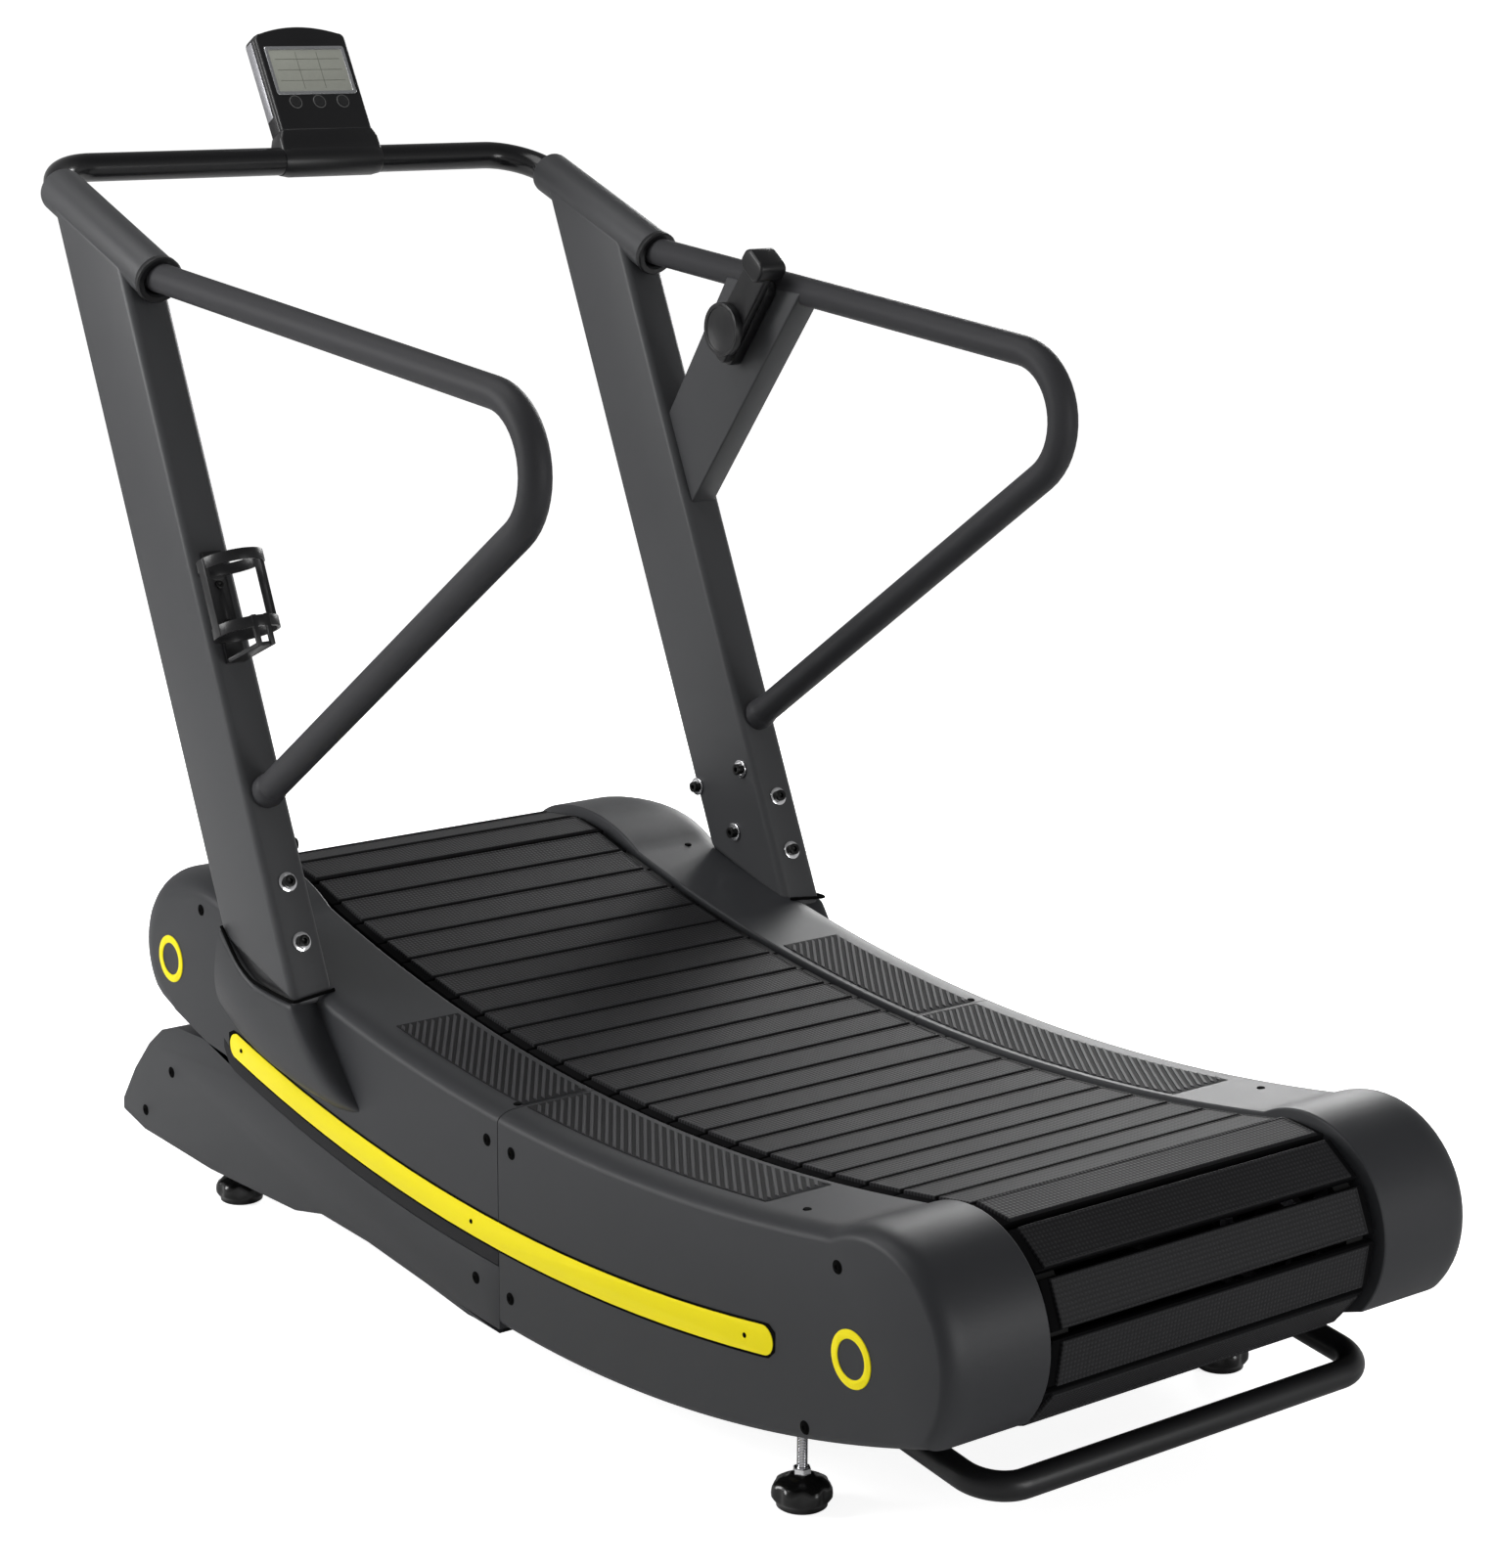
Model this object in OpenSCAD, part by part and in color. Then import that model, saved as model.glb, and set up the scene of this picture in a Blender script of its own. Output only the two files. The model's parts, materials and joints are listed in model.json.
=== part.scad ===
// Curved manual treadmill: a slat belt on a concave track, side covers, two
// raked masts with handrails, a console and a resistance lever.
// +X is the user's right, +Y the way the user faces, +Z up; the origin is on
// the floor, under the middle of the machine. Modules draw in a side view whose
// y starts under the belt's middle, and centred() moves each part to the origin.

/* [Running surface] */
// Height of the rear drum axle above the floor
rear_axle_z = 256; // [254:1:258]
// Height of the front drum axle above the floor
front_axle_z = 342; // [338:1:345]
// Radius of the running surface where it wraps the rear drum
rear_wrap_r = 118; // [116:1:119]
// Radius of the running surface where it wraps the front drum
front_wrap_r = 105; // [103:1:107]
// Radius of the crown over which the surface turns down to the front drum
crown_r = 250; // [240:5:260]
// Radius of the concave running surface
track_r = 2800; // [2700:50:3000]
// Length of one slat across the machine
slat_len = 476; // [470:1:477]
// Number of slats in the belt
slat_count = 61; // [59:1:62]

/* [Covers] */
// Half width of the machine over its side covers
cover_x = 385; // [384:0.5:388]
// Wall thickness of the moulded covers
cover_wall = 3; // [2.5:0.5:3.5]
// Width of the coloured stripe
stripe_w = 33; // [28:1:34]

/* [Masts and handrails] */
// Distance from the centre plane to the handrails
rail_x = 388; // [387:0.5:389]
// Outer diameter of the handrail tube
rail_d = 38; // [36:0.5:38]
// Depth of the mast tube along the machine
mast_depth = 153; // [148:1:156]
// Outer diameter of the sleeve on top of each mast
sleeve_d = 60; // [58:1:62]

/* [Console] */
// Distance of the console from the centre plane
console_x = 56; // [0:4:80]
// Width of the console
console_w = 152; // [140:2:160]
// Lean of the console away from the user, in degrees
console_tilt = 29; // [20:1:35]

/* [Feet] */
// Radius of the foot knobs
knob_r = 36; // [30:1:38]

/* [Hidden] */
$fn = 64;
big_fn = 360;

// Colours
charcoal = [0.17, 0.17, 0.18];
black = [0.05, 0.05, 0.055];
yellow = [0.95, 0.88, 0.08];
steel = [0.62, 0.63, 0.65];

// ---- Belt path, in the side view (y forward, z up) ----
// Layers under the running surface: tread, slat, then the drive belts.
tread_t = 4;
slat_t = 8;
belt_t = 8;
skin_t = tread_t + slat_t;
gap = 0.3;
rear_axle = [-815, rear_axle_z];
front_axle = [612, front_axle_z];
pitch_rear = rear_wrap_r - skin_t;
pitch_crown = crown_r - skin_t;
crown_a = 75;
lap = 0.1;
pitch_front = front_wrap_r - skin_t;
pitch_track = track_r + skin_t;
return_r = 6000;

// Centre of a circle that stands off the axles by d1 and d2, above them.
function arc_centre(p, q, d1, d2) =
    let (v = q - p, d = norm(v), a = (d * d + d1 * d1 - d2 * d2) / (2 * d),
         h = sqrt(d1 * d1 - a * a), u = v / d)
    p + a * u + h * [-u[1], u[0]];
crown_c = front_axle - (crown_r - front_wrap_r) * [cos(crown_a), sin(crown_a)];
track_c = arc_centre(rear_axle, crown_c, pitch_track + pitch_rear, pitch_track + pitch_crown);
return_c = arc_centre(rear_axle, front_axle, return_r - pitch_rear, return_r - pitch_front);

// Direction angles of the tangent points, measured at the arc centres.
function angle_of(v) = atan2(v[1], v[0]);
track_a0 = angle_of(rear_axle - track_c);
track_a1 = angle_of(crown_c - track_c);
return_a0 = angle_of(rear_axle - return_c);
return_a1 = angle_of(front_axle - return_c);
to_rad = PI / 180;
len_track = pitch_track * (track_a1 - track_a0) * to_rad;
crown_start = track_a1 + 180;
len_crown = pitch_crown * (crown_start - crown_a) * to_rad;
len_front = pitch_front * (crown_a - return_a1) * to_rad;
len_return = return_r * (return_a1 - return_a0) * to_rad;
len_rear = pitch_rear * (return_a0 - track_a0 + 180) * to_rad;
end_crown = len_track + len_crown;
end_front = end_crown + len_front;
end_return = end_front + len_return;
belt_len = end_return + len_rear;
slat_pitch = belt_len / slat_count;
slat_w = slat_pitch - 4;

// Place and outward direction of a point at distance s along the pitch line.
function on(c, r, a) = c + r * [cos(a), sin(a)];
function wrap_at(c, r, a0, s) = let (a = a0 - s / r / to_rad) [on(c, r, a), a];
function path_at(s) =
    s < len_track
        ? let (a = track_a0 + s / pitch_track / to_rad) [on(track_c, pitch_track, a), a + 180]
    : s < end_crown ? wrap_at(crown_c, pitch_crown, crown_start, s - len_track)
    : s < end_front ? wrap_at(front_axle, pitch_front, crown_a, s - end_crown)
    : s < end_return ? wrap_at(return_c, return_r, return_a1, s - end_front)
    : wrap_at(rear_axle, pitch_rear, return_a0, s - end_return);

function track_z(y, r) = track_c[1] - sqrt(r * r - pow(y - track_c[0], 2));
function return_z(y) = return_c[1] - sqrt(return_r * return_r - pow(y - return_c[0], 2));

// ---- Widths ----
cover_in = 246;
frame_in = 250;
frame_t = 6;
rail_in = 298;
rail_out = 338;
base_z = 118;
base_h = 40;
drive_in = 206;
drive_out = 231;

// ---- Cover profile ----
nose_rear_r = rear_wrap_r + 7;
nose_front_r = front_wrap_r + 8.3;
nose_crown_r = crown_r + 8;
deck_r = track_r + 1;
sill_c = [-230, 2161];
sill_r = 2100;
edge_drop = 10;
split_y = -150;
stripe_c = [-210, 178 + track_r];

// ---- Mast ----
lean = 0.44;
lean_a = atan(lean);
mast_foot_z = 300;
function mast_rear(z) = 438 + lean * (z - 800);
function mast_front(z) = mast_rear(z) + mast_depth;
mast_w = 60;
mast_in = rail_x - mast_w / 2;
mast_wall = 3;

// ---- Handrails, in the side view ----
rail_r = rail_d / 2;
sleeve_r = sleeve_d / 2;
ring_p = [593, 1232];
bar_p = [909, 1353];
elbow_p = [-393, 1138];
join_p = [349, 616];
sleeve_dir = (bar_p - ring_p) / norm(bar_p - ring_p);
sleeve_len = 273;
rail_bend = 84;
bar_bend = 75;
tube_wall = 2.5;

// ---- Resistance lever ----
hub = [362, 1146];
hub_r = 36;
hub_face = 326;
strut_in = 368;
strut_out = 408;
fly_c = [330, 262];
fly_r = 84;
fly_in = 262;
fly_t = 18;
brake_p = [226, 196];

// ---- Console frame: origin on the bar, z up the face, y towards the user ----
module on_console() {
    translate([console_x, bar_p[0], bar_p[1]]) rotate([-console_tilt, 0, 0]) mirror([0, 1, 0]) children();
}
console_h = 193;
face_y = 20;
screen_z = 128;
button_z = 80;
button_step = 38;

back_t = 13;
front_t = 10;

// ---- Ends of the machine, and the middle between them ----
front_end_y = bar_p[0] + console_h * sin(console_tilt) + (back_t + front_t - face_y) * cos(console_tilt);
rear_end_y = rear_axle[0] - nose_rear_r;
mid_y = round((front_end_y + rear_end_y) / 2);
module centred() {
    translate([0, -mid_y, 0]) children();
}

foot_x = 318;
foot_rear_y = -630;
foot_front_y = 574;
foot_z = [[foot_front_y, -1], [foot_front_y, 1], [foot_rear_y, -1], [foot_rear_y, 1]];
stem_r = 6;
fit = 0.05;

// ---------- helpers ----------
// Extrudes a side-view outline (y, z) from x0 to x1.
module yz(x0, x1) {
    translate([x0, 0, 0]) rotate([90, 0, 90]) linear_extrude(height = x1 - x0) children();
}

module disc_yz(p, r, x0, x1) {
    translate([x0, p[0], p[1]]) rotate([0, 90, 0]) cylinder(r = r, h = x1 - x0);
}

// The right-hand piece when side is 1, its mirror image when side is -1.
module on_side(side) {
    if (side > 0) children();
    else mirror([1, 0, 0]) children();
}

function unit(v) = v / norm(v);
function frame_matrix(x, y, z, p) =
    [[x[0], y[0], z[0], p[0]], [x[1], y[1], z[1], p[1]], [x[2], y[2], z[2], p[2]], [0, 0, 0, 1]];
function any_normal(d) = abs(d[0]) > 0.9 ? unit(cross(d, [0, 0, 1])) : unit(cross(d, [1, 0, 0]));

module rod(p, q, r) {
    d = unit(q - p);
    n = any_normal(d);
    multmatrix(frame_matrix(n, cross(d, n), d, p)) cylinder(r = r, h = norm(q - p));
}

// Tube along points; bend is the radius at each inner point, and wall its thickness.
// Each elbow is a hair slimmer than the straights and runs a little way into them.
elbow_slim = 0.15;
elbow_lap = 1.5;
module bent_tube(pts, r, wall, bend) {
    last = len(pts) - 1;
    dirs = [for (i = [0:last - 1]) unit(pts[i + 1] - pts[i])];
    turn = [for (i = [1:last - 1]) acos(dirs[i - 1] * dirs[i])];
    cut = [for (i = [0:last]) i == 0 || i == last ? 0 : bend[i - 1] * tan(turn[i - 1] / 2)];
    for (i = [0:last - 1]) pipe(pts[i] + dirs[i] * cut[i], pts[i + 1] - dirs[i] * cut[i + 1], r, wall);
    for (i = [1:last - 1]) {
        a = dirs[i - 1];
        n = unit(dirs[i] - (a * dirs[i]) * a);
        c = pts[i] - a * cut[i] + n * bend[i - 1];
        lap = elbow_lap / bend[i - 1] / to_rad;
        multmatrix(frame_matrix(-n, a, cross(-n, a), c)) rotate([0, 0, -lap])
            rotate_extrude(angle = turn[i - 1] + 2 * lap) translate([bend[i - 1], 0])
            ring(r - elbow_slim, wall - 2 * elbow_slim);
    }
}

module ring(r, wall) {
    difference() {
        circle(r);
        circle(r - wall);
    }
}

module pipe(p, q, r, wall) {
    d = unit(q - p);
    n = any_normal(d);
    multmatrix(frame_matrix(n, cross(d, n), d, p)) linear_extrude(height = norm(q - p)) ring(r, wall);
}

// Slim cable as a swept polygon tube along a route.
module cable(pts, r, sides) {
    last = len(pts) - 1;
    dirs = [for (i = [0:last]) unit(pts[min(i + 1, last)] - pts[max(i - 1, 0)])];
    rings = [for (i = [0:last])
        let (n = any_normal(dirs[i]), b = cross(dirs[i], n))
        for (k = [0:sides - 1]) pts[i] + r * (cos(360 * k / sides) * n + sin(360 * k / sides) * b)];
    quads = [for (i = [0:last - 1], k = [0:sides - 1])
        [i * sides + k, i * sides + (k + 1) % sides,
         (i + 1) * sides + (k + 1) % sides, (i + 1) * sides + k]];
    ends = [[for (k = [sides - 1:-1:0]) k], [for (k = [0:sides - 1]) last * sides + k]];
    polyhedron(points = rings, faces = concat(quads, ends));
}

// ---------- side profiles ----------
module big_circle(c, r) {
    translate(c) circle(r, $fn = 4 * big_fn);
}

// Front end of a loop: the drum of radius r_front and everything below the crown of r_crown.
module front_end(r_crown, r_front, low) {
    far = crown_r * 1.4;
    translate(front_axle) circle(r_front, $fn = big_fn);
    intersection() {
        translate(crown_c) circle(r_crown, $fn = 2 * big_fn);
        polygon([crown_c + [-300, -302], crown_c + [-300, 400], on(crown_c, far, crown_a),
                 front_axle, low]);
    }
}

// Outline of the whole side cover, drawn in by t.
module cover_outline(t) {
    foot_y = crown_c[0] + crown_r * cos(crown_start);
    intersection() {
        big_circle(sill_c, sill_r - t);
        union() {
            translate(rear_axle) circle(nose_rear_r - t, $fn = big_fn);
            front_end(nose_crown_r - t, nose_front_r - t, [front_axle[0], -80]);
            difference() {
                translate([rear_axle[0], 0]) square([foot_y - rear_axle[0], 600]);
                big_circle(track_c, deck_r + t);
            }
        }
    }
}

// Front lower cover: a toe in front, and a band that follows the stripe back.
toe_pts = [[split_y, 40], [140, 84], [250, 88], [315, 74], [533, 68], [713, 75], [781, 91],
           [735, 156], [692, 202], [655, 230], [615, 243], [545, 245], [484, 238], [440, 226]];
toe_rear = 440;
band_drop = 38;
module lower_outline() {
    difference() {
        union() {
            polygon(toe_pts);
            intersection() {
                translate([split_y, 0]) square([toe_rear - split_y, 300]);
                big_circle(sill_c, sill_r);
            }
        }
        intersection() {
            big_circle(stripe_c - [0, band_drop], track_r);
            translate([split_y - 10, 0]) square([toe_rear - split_y + 10, 1000]);
        }
    }
}

// Shrinks an outline by t on every side.
module drawn_in(t) {
    intersection() {
        translate([t, 0]) children();
        translate([-t, 0]) children();
        translate([0, t]) children();
        translate([0, -t]) children();
    }
}

module stripe_outline(grow) {
    mid = stripe_c;
    intersection() {
        difference() {
            big_circle(mid, track_r + stripe_w / 2 + grow);
            big_circle(mid, track_r - stripe_w / 2 - grow);
        }
        translate([stripe_rear, 0]) square([stripe_front - stripe_rear, 400]);
    }
    for (y = [stripe_rear, stripe_front]) translate([y, stripe_z(y)]) circle(stripe_w / 2 + grow);
}
stripe_rear = -648;
stripe_front = 452;
function stripe_z(y) = stripe_c[1] - sqrt(track_r * track_r - pow(y - stripe_c[0], 2));

module mast_outline(t, z0) {
    // Where the raked edges meet the sleeve's axis.
    k = sleeve_dir[1] / sleeve_dir[0];
    function meet(y0) = let (y = (y0 + lean * (ring_p[1] - 800 - k * ring_p[0])) / (1 - lean * k))
        [y, ring_p[1] + k * (y - ring_p[0])];
    w = t / cos(lean_a);
    polygon([[mast_rear(z0) + w, z0], [mast_front(z0) - w, z0],
             meet(438 + mast_depth - w), meet(438 + w)]);
}

// Bulge of the cover round the mast's foot.
boot_pts = [[150, 247], [246, 371], [287, 371], [351, 377], [382, 393], [419, 429], [448, 330],
            [452, 278], [300, 240], [200, 236]];

// ---------- frame ----------
module side_frame(side) {
    lug_r = 16;
    color(black) on_side(side) difference() {
        yz(frame_in, frame_in + frame_t) {
            intersection() {
                cover_outline(8);
                difference() {
                    translate([-820, 118]) square([1420, 400]);
                    big_circle(track_c, track_r + 12);
                }
            }
            for (p = [rear_axle, front_axle]) translate(p) circle(70);
            for (y = roller_y) roller_lug(y, lug_r);
        }
        for (p = [rear_axle, front_axle]) disc_yz(p, 36, frame_in - 1, frame_in + frame_t + 1);
        for (y = roller_y)
            disc_yz([y, roller_z(y)], roller_pin_r + fit, frame_in - 1, frame_in + frame_t + 1);
        for (y = [-560, -330, -50, 140]) disc_yz([y, 205], 30, frame_in - 1, frame_in + frame_t + 1);
    }
}
roller_y = [-440, 240];
roller_r = 14;
roller_pin_r = 6;
function roller_z(y) = return_z(y) - skin_t - roller_r - 0.5;
module roller_lug(y, r) {
    translate([y, roller_z(y)]) circle(r);
    translate([y - r, roller_z(y)]) square([2 * r, 200 - roller_z(y)]);
}

module cross_members() {
    member_h = 40;
    color(black) for (y = [-620, -180, 190, 420]) {
        z = track_z(y, track_r) - 110;
        difference() {
            translate([-frame_in, y - 20, z]) cube([2 * frame_in, 40, member_h]);
            translate([-frame_in - 1, y - 17, z + 3]) cube([2 * frame_in + 2, 34, member_h - 6]);
        }
    }
}

module base_rail(side) {
    stub_in = mast_in + mast_wall + 1;
    stub_out = rail_x + mast_w / 2 - mast_wall - 1;
    low_out = cover_x - cover_wall - 1;
    color(black) on_side(side) difference() {
        union() {
            translate([rail_in, -700, base_z]) cube([rail_out - rail_in, 1415, base_h]);
            // Ties to the side frame
            for (y = [-560, -150, 200, 500])
                translate([frame_in + frame_t, y - 20, base_z + 4]) cube([42, 40, 32]);
            // Mast post: narrow below the cover's side, full width inside the mast
            translate([rail_out, 180, base_z]) cube([low_out - rail_out, 160, base_h]);
            yz(stub_in, low_out) post_outline(base_z + 2, mast_foot_z + 20);
            yz(stub_in, stub_out) post_outline(mast_foot_z, 570);
            // Wheel fork and pin
            translate([rail_in, 684, 30]) cube([6, 40, base_z - 28]);
            disc_yz(wheel_p, 6, wheel_in - 3, rail_in + 1);
        }
        translate([rail_in + 3, -697, base_z + 3]) cube([34, 1409, base_h - 6]);
        yz(stub_in + 3, stub_out - 3) post_hollow(mast_foot_z - 1, 571);
        for (y = [foot_rear_y, foot_front_y])
            translate([foot_x, y, base_z - 1]) cylinder(r = stem_r + fit, h = base_h + 2);
    }
}
module post_outline(z0, z1) {
    polygon([[mast_rear(z0) + 6, z0], [mast_front(z0) - 6, z0], [mast_front(z1) - 6, z1],
             [mast_rear(z1) + 6, z1]]);
}
module post_hollow(z0, z1) {
    polygon([[mast_rear(z0) + 10, z0], [mast_front(z0) - 10, z0], [mast_front(z1) - 10, z1],
             [mast_rear(z1) + 10, z1]]);
}

wheel_p = [704, 47];
wheel_r = 34;
wheel_in = 272;
wheel_w = 23;
module transport_wheel(side) {
    color(black) on_side(side) difference() {
        disc_yz(wheel_p, wheel_r, wheel_in, wheel_in + wheel_w);
        disc_yz(wheel_p, 6 + fit, wheel_in - 1, wheel_in + wheel_w + 1);
        for (x = [wheel_in - 1, wheel_in + wheel_w - 5]) difference() {
            disc_yz(wheel_p, 26, x, x + 6);
            disc_yz(wheel_p, 12, x - 1, x + 7);
        }
    }
}

module lift_bar() {
    bar_x = 281;
    corner = [-893, 98];
    top = [-600, 138];
    color(black) {
        bent_tube([[-bar_x, top[0], top[1]], [-bar_x, corner[0], corner[1]],
                   [bar_x, corner[0], corner[1]], [bar_x, top[0], top[1]]], 16, 2.5, [46, 46]);
        for (side = [-1, 1]) on_side(side)
            difference() {
                translate([bar_x + 8, -650, base_z + 2]) cube([rail_in - bar_x - 8, 46, base_h - 6]);
                rod([bar_x, corner[0], corner[1]], [bar_x, top[0], top[1]] + [0, 10, 1.36], 15);
            }
    }
}

// ---------- masts and rails ----------
module mast(side) {
    a = [rail_x, ring_p[0], ring_p[1]];
    d = [0, sleeve_dir[0], sleeve_dir[1]];
    color(charcoal) on_side(side) difference() {
        union() {
            yz(mast_in, mast_in + mast_w) mast_outline(0, mast_foot_z);
            rod(a, a + d * sleeve_len, sleeve_r);
        }
        yz(mast_in + mast_wall, mast_in + mast_w - mast_wall) intersection() {
            mast_outline(mast_wall, mast_foot_z - 1);
            polygon([[0, 0], [1000, 0], [1000, 1290], [500, 1170], [0, 1000]]);
        }
        rod(a - d, a + d * (sleeve_len + 1), rail_r + 0.05);
        rod(a - d, a + d * 26, sleeve_r - 3);
        rod(a + d * (sleeve_len - 13), a + d * (sleeve_len + 1), rail_r + 1.5);
        // Cable hole behind the strut
        if (side > 0)
            translate([rail_x, mast_rear(960) + 10, 960]) rotate([60, 0, 0])
                cylinder(r = 6, h = 60, center = true);
    }
}

module sleeve_rings() {
    a = [rail_x, ring_p[0], ring_p[1]];
    d = [0, sleeve_dir[0], sleeve_dir[1]];
    color(black) for (side = [-1, 1]) on_side(side) difference() {
        union() {
            rod(a - d * 9, a, sleeve_r + 1.5);
            rod(a - d, a + d * 14, sleeve_r - 3.05);
        }
        rod(a - d * 12, a + d * 16, rail_r + 5.5);
    }
}

module side_rail(side) {
    d = [0, sleeve_dir[0], sleeve_dir[1]];
    ring_at = [rail_x, ring_p[0], ring_p[1]];
    join = [rail_x, join_p[0], join_p[1]];
    elbow = [rail_x, elbow_p[0], elbow_p[1]];
    // The lower end runs on into the mast and is cut to its rear face.
    past = join + unit(join - elbow) * 60;
    color(charcoal) on_side(side) difference() {
        bent_tube([ring_at + d * 120, ring_at + d * 6, elbow, past], rail_r, tube_wall,
                  [60, rail_bend]);
        yz(rail_x - 40, rail_x + 40)
            polygon([[mast_rear(400), 400], [mast_rear(900), 900], [900, 900], [900, 400]]);
    }
}

module front_handlebar() {
    d = [0, sleeve_dir[0], sleeve_dir[1]];
    a = [rail_x, ring_p[0], ring_p[1]] + d * 130;
    k = [rail_x, bar_p[0], bar_p[1]];
    flip = [[-1, 0, 0], [0, 1, 0], [0, 0, 1]];
    color(black) bent_tube([flip * a, flip * k, k, a], rail_r, tube_wall,
        [bar_bend, bar_bend]);
}

module mast_bolt_places() {
    for (p = [[353, 542], [451, 499], [366, 450]])
        translate([mast_in, p[0], p[1]]) rotate([0, -90, 0]) children();
    for (z = [507, 437])
        translate([rail_x, mast_rear(z), z]) rotate([90 - lean_a, 0, 0]) children();
}
module mast_bolts() {
    color(black) for (side = [-1, 1]) on_side(side) mast_bolt_places() difference() {
        translate([0, 0, 2.5]) cylinder(r = 7.5, h = 7);
        translate([0, 0, 5]) cylinder(r = 4, h = 6, $fn = 6);
    }
}
module mast_washers() {
    color(steel) for (side = [-1, 1]) on_side(side) mast_bolt_places() difference() {
        cylinder(r = 12.5, h = 2.5);
        translate([0, 0, -1]) cylinder(r = 5, h = 5);
    }
}

// ---------- resistance lever ----------
strut_dir = [-0.61, 0.79];
arm_w = 46;
module lever_strut() {
    front = [[536, 1015], [404, 1210]];
    rear = [[480, 895], [240, 1206]];
    wall = 3;
    color(charcoal) difference() {
        yz(strut_in, strut_out) polygon([rear[0], front[0], front[1], rear[1]]);
        yz(strut_in + wall, strut_out - wall)
            polygon([rear[0] + [20, -20], front[0] + [40, -25], front[1] + [-4, -1], rear[1] + [6, 0]]);
        yz(strut_in - 1, strut_out + 1)
            polygon([[mast_rear(800), 800], [mast_rear(1200), 1200], [900, 1200], [900, 800]]);
        rod([rail_x, elbow_p[0], elbow_p[1]], [rail_x, ring_p[0], ring_p[1]], rail_r);
        yz(strut_in - 1, strut_out + 1)
            polygon([elbow_p, ring_p, ring_p + [0, 60], elbow_p + [0, 60]]);
        disc_yz([384, 1117], 6, strut_in - 1, strut_in + wall + 1);
    }
}

module lever_housing() {
    color(black) difference() {
        yz(350, strut_in) housing_outline();
        yz(353, strut_in - 3) drawn_in(3) housing_outline();
        disc_yz(hub, 10.05, 340, strut_in - 3);
        disc_yz([384, 1117], 6, strut_in - 4, strut_in + 1);
    }
}
module housing_outline() {
    circle_at(hub, 26);
    n = [0.79, 0.61] * arm_w / 2;
    far = hub + strut_dir * 88;
    near = hub - strut_dir * 50;
    polygon([near + n, far + n, far - n, near - n]);
}
module circle_at(p, r) {
    translate(p) circle(r);
}

module shift_lever() {
    n = [0.79, 0.61] * arm_w / 2;
    heel = hub - strut_dir * 44;
    tip = hub + strut_dir * 110;
    color(black) {
        // Hub, its spigot and the arm beside the handrail
        disc_yz(hub, 30, 336, 349.6);
        disc_yz(hub, 10, 349, strut_in - 4);
        yz(337, 349.6) polygon([heel + n, tip + n, tip - n, heel - n]);
        // Grip cap over the end of the arm
        translate([324, tip[0], tip[1]]) rotate([atan2(strut_dir[1], strut_dir[0]) - 90, 0, 0])
            translate([0, -23, -14]) cube([43, 46, 32]);
    }
}

module lever_hub_cap() {
    color(charcoal) difference() {
        disc_yz(hub, hub_r, hub_face, 336);
        disc_yz(hub, hub_r - 6, hub_face - 1, hub_face + 1.5);
    }
}

module lever_cable() {
    route = [[366, 384, 1117], [372, 386, 1114], [378, 396, 1100], [384, 420, 1070],
             [388, 450, 1028], [388, 480, 990], [388, 508, 963], [388, 530, 940],
             [388, 545, 915], [388, 535, 880], [388, 500, 790], [388, 460, 700],
             [388, 420, 610], [388, 376, 510], [388, 330, 405], [390, 292, 330],
             [392, 262, 290], [390, 205, 268], [384, 170, 262], [372, 160, 260], [340, 160, 258],
             [300, 168, 250], [280, 186, 240], [271, 199, 232]];
    color(black) cable(route, 2.5, 8);
}

// ---------- brake ----------
module fly_pulley(p, r) {
    difference() {
        disc_yz(p, r, 284, 294);
        translate([289, p[0], p[1]]) rotate([0, 90, 0]) rotate_extrude()
            polygon([[r - 5, -1.5], [r + 1, -4], [r + 1, 4], [r - 5, 1.5]]);
    }
}
drive_pulley_r = 70;
fly_pulley_r = 25;
module flywheel() {
    color(steel) {
        difference() {
            disc_yz(fly_c, fly_r, fly_in, fly_in + fly_t);
            for (x = [fly_in - 1, fly_in + fly_t - 4]) difference() {
                disc_yz(fly_c, fly_r - 16, x, x + 5);
                disc_yz(fly_c, 24, x - 1, x + 6);
            }
            disc_yz(fly_c, 8.05, fly_in - 1, fly_in + fly_t + 1);
        }
        difference() {
            fly_pulley(fly_c, fly_pulley_r);
            disc_yz(fly_c, 8.05, 283, 295);
        }
        difference() {
            disc_yz(fly_c, 14, fly_in + fly_t - 1, 285);
            disc_yz(fly_c, 8.05, 270, 290);
        }
    }
}
// A round shaft fixed to the side frame carries the flywheel; see axle_bearings.

module flywheel_belt() {
    color(black) difference() {
        yz(287.4, 290.6) belt_loop(-1);
        yz(286, 292) belt_loop(-4);
    }
}
module belt_loop(grow) {
    hull() {
        translate(front_axle) circle(drive_pulley_r + grow);
        translate(fly_c) circle(fly_pulley_r + grow);
    }
}

magnet_gap = 3;
module magnet_bracket() {
    r0 = fly_r + magnet_gap + 6;
    color(steel) difference() {
        union() {
            disc_yz(brake_p, 11, fly_in + 0.5, fly_in + fly_t - 0.5);
            yz(fly_in + 1, fly_in + fly_t - 1) {
                polygon([brake_p + [-7, 3], on(fly_c, r0 + 2, 198), on(fly_c, r0 + 2, 212),
                         brake_p + [5, -7]]);
                sector(fly_c, r0, r0 + 5, 158, 214);
            }
        }
        disc_yz(brake_p, 5.05, fly_in - 1, fly_in + fly_t + 1);
    }
}
module sector(c, r0, r1, a0, a1) {
    steps = 14;
    polygon(concat([for (i = [0:steps]) on(c, r0, a0 + (a1 - a0) * i / steps)],
                   [for (i = [steps:-1:0]) on(c, r1, a0 + (a1 - a0) * i / steps)]));
}
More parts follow.
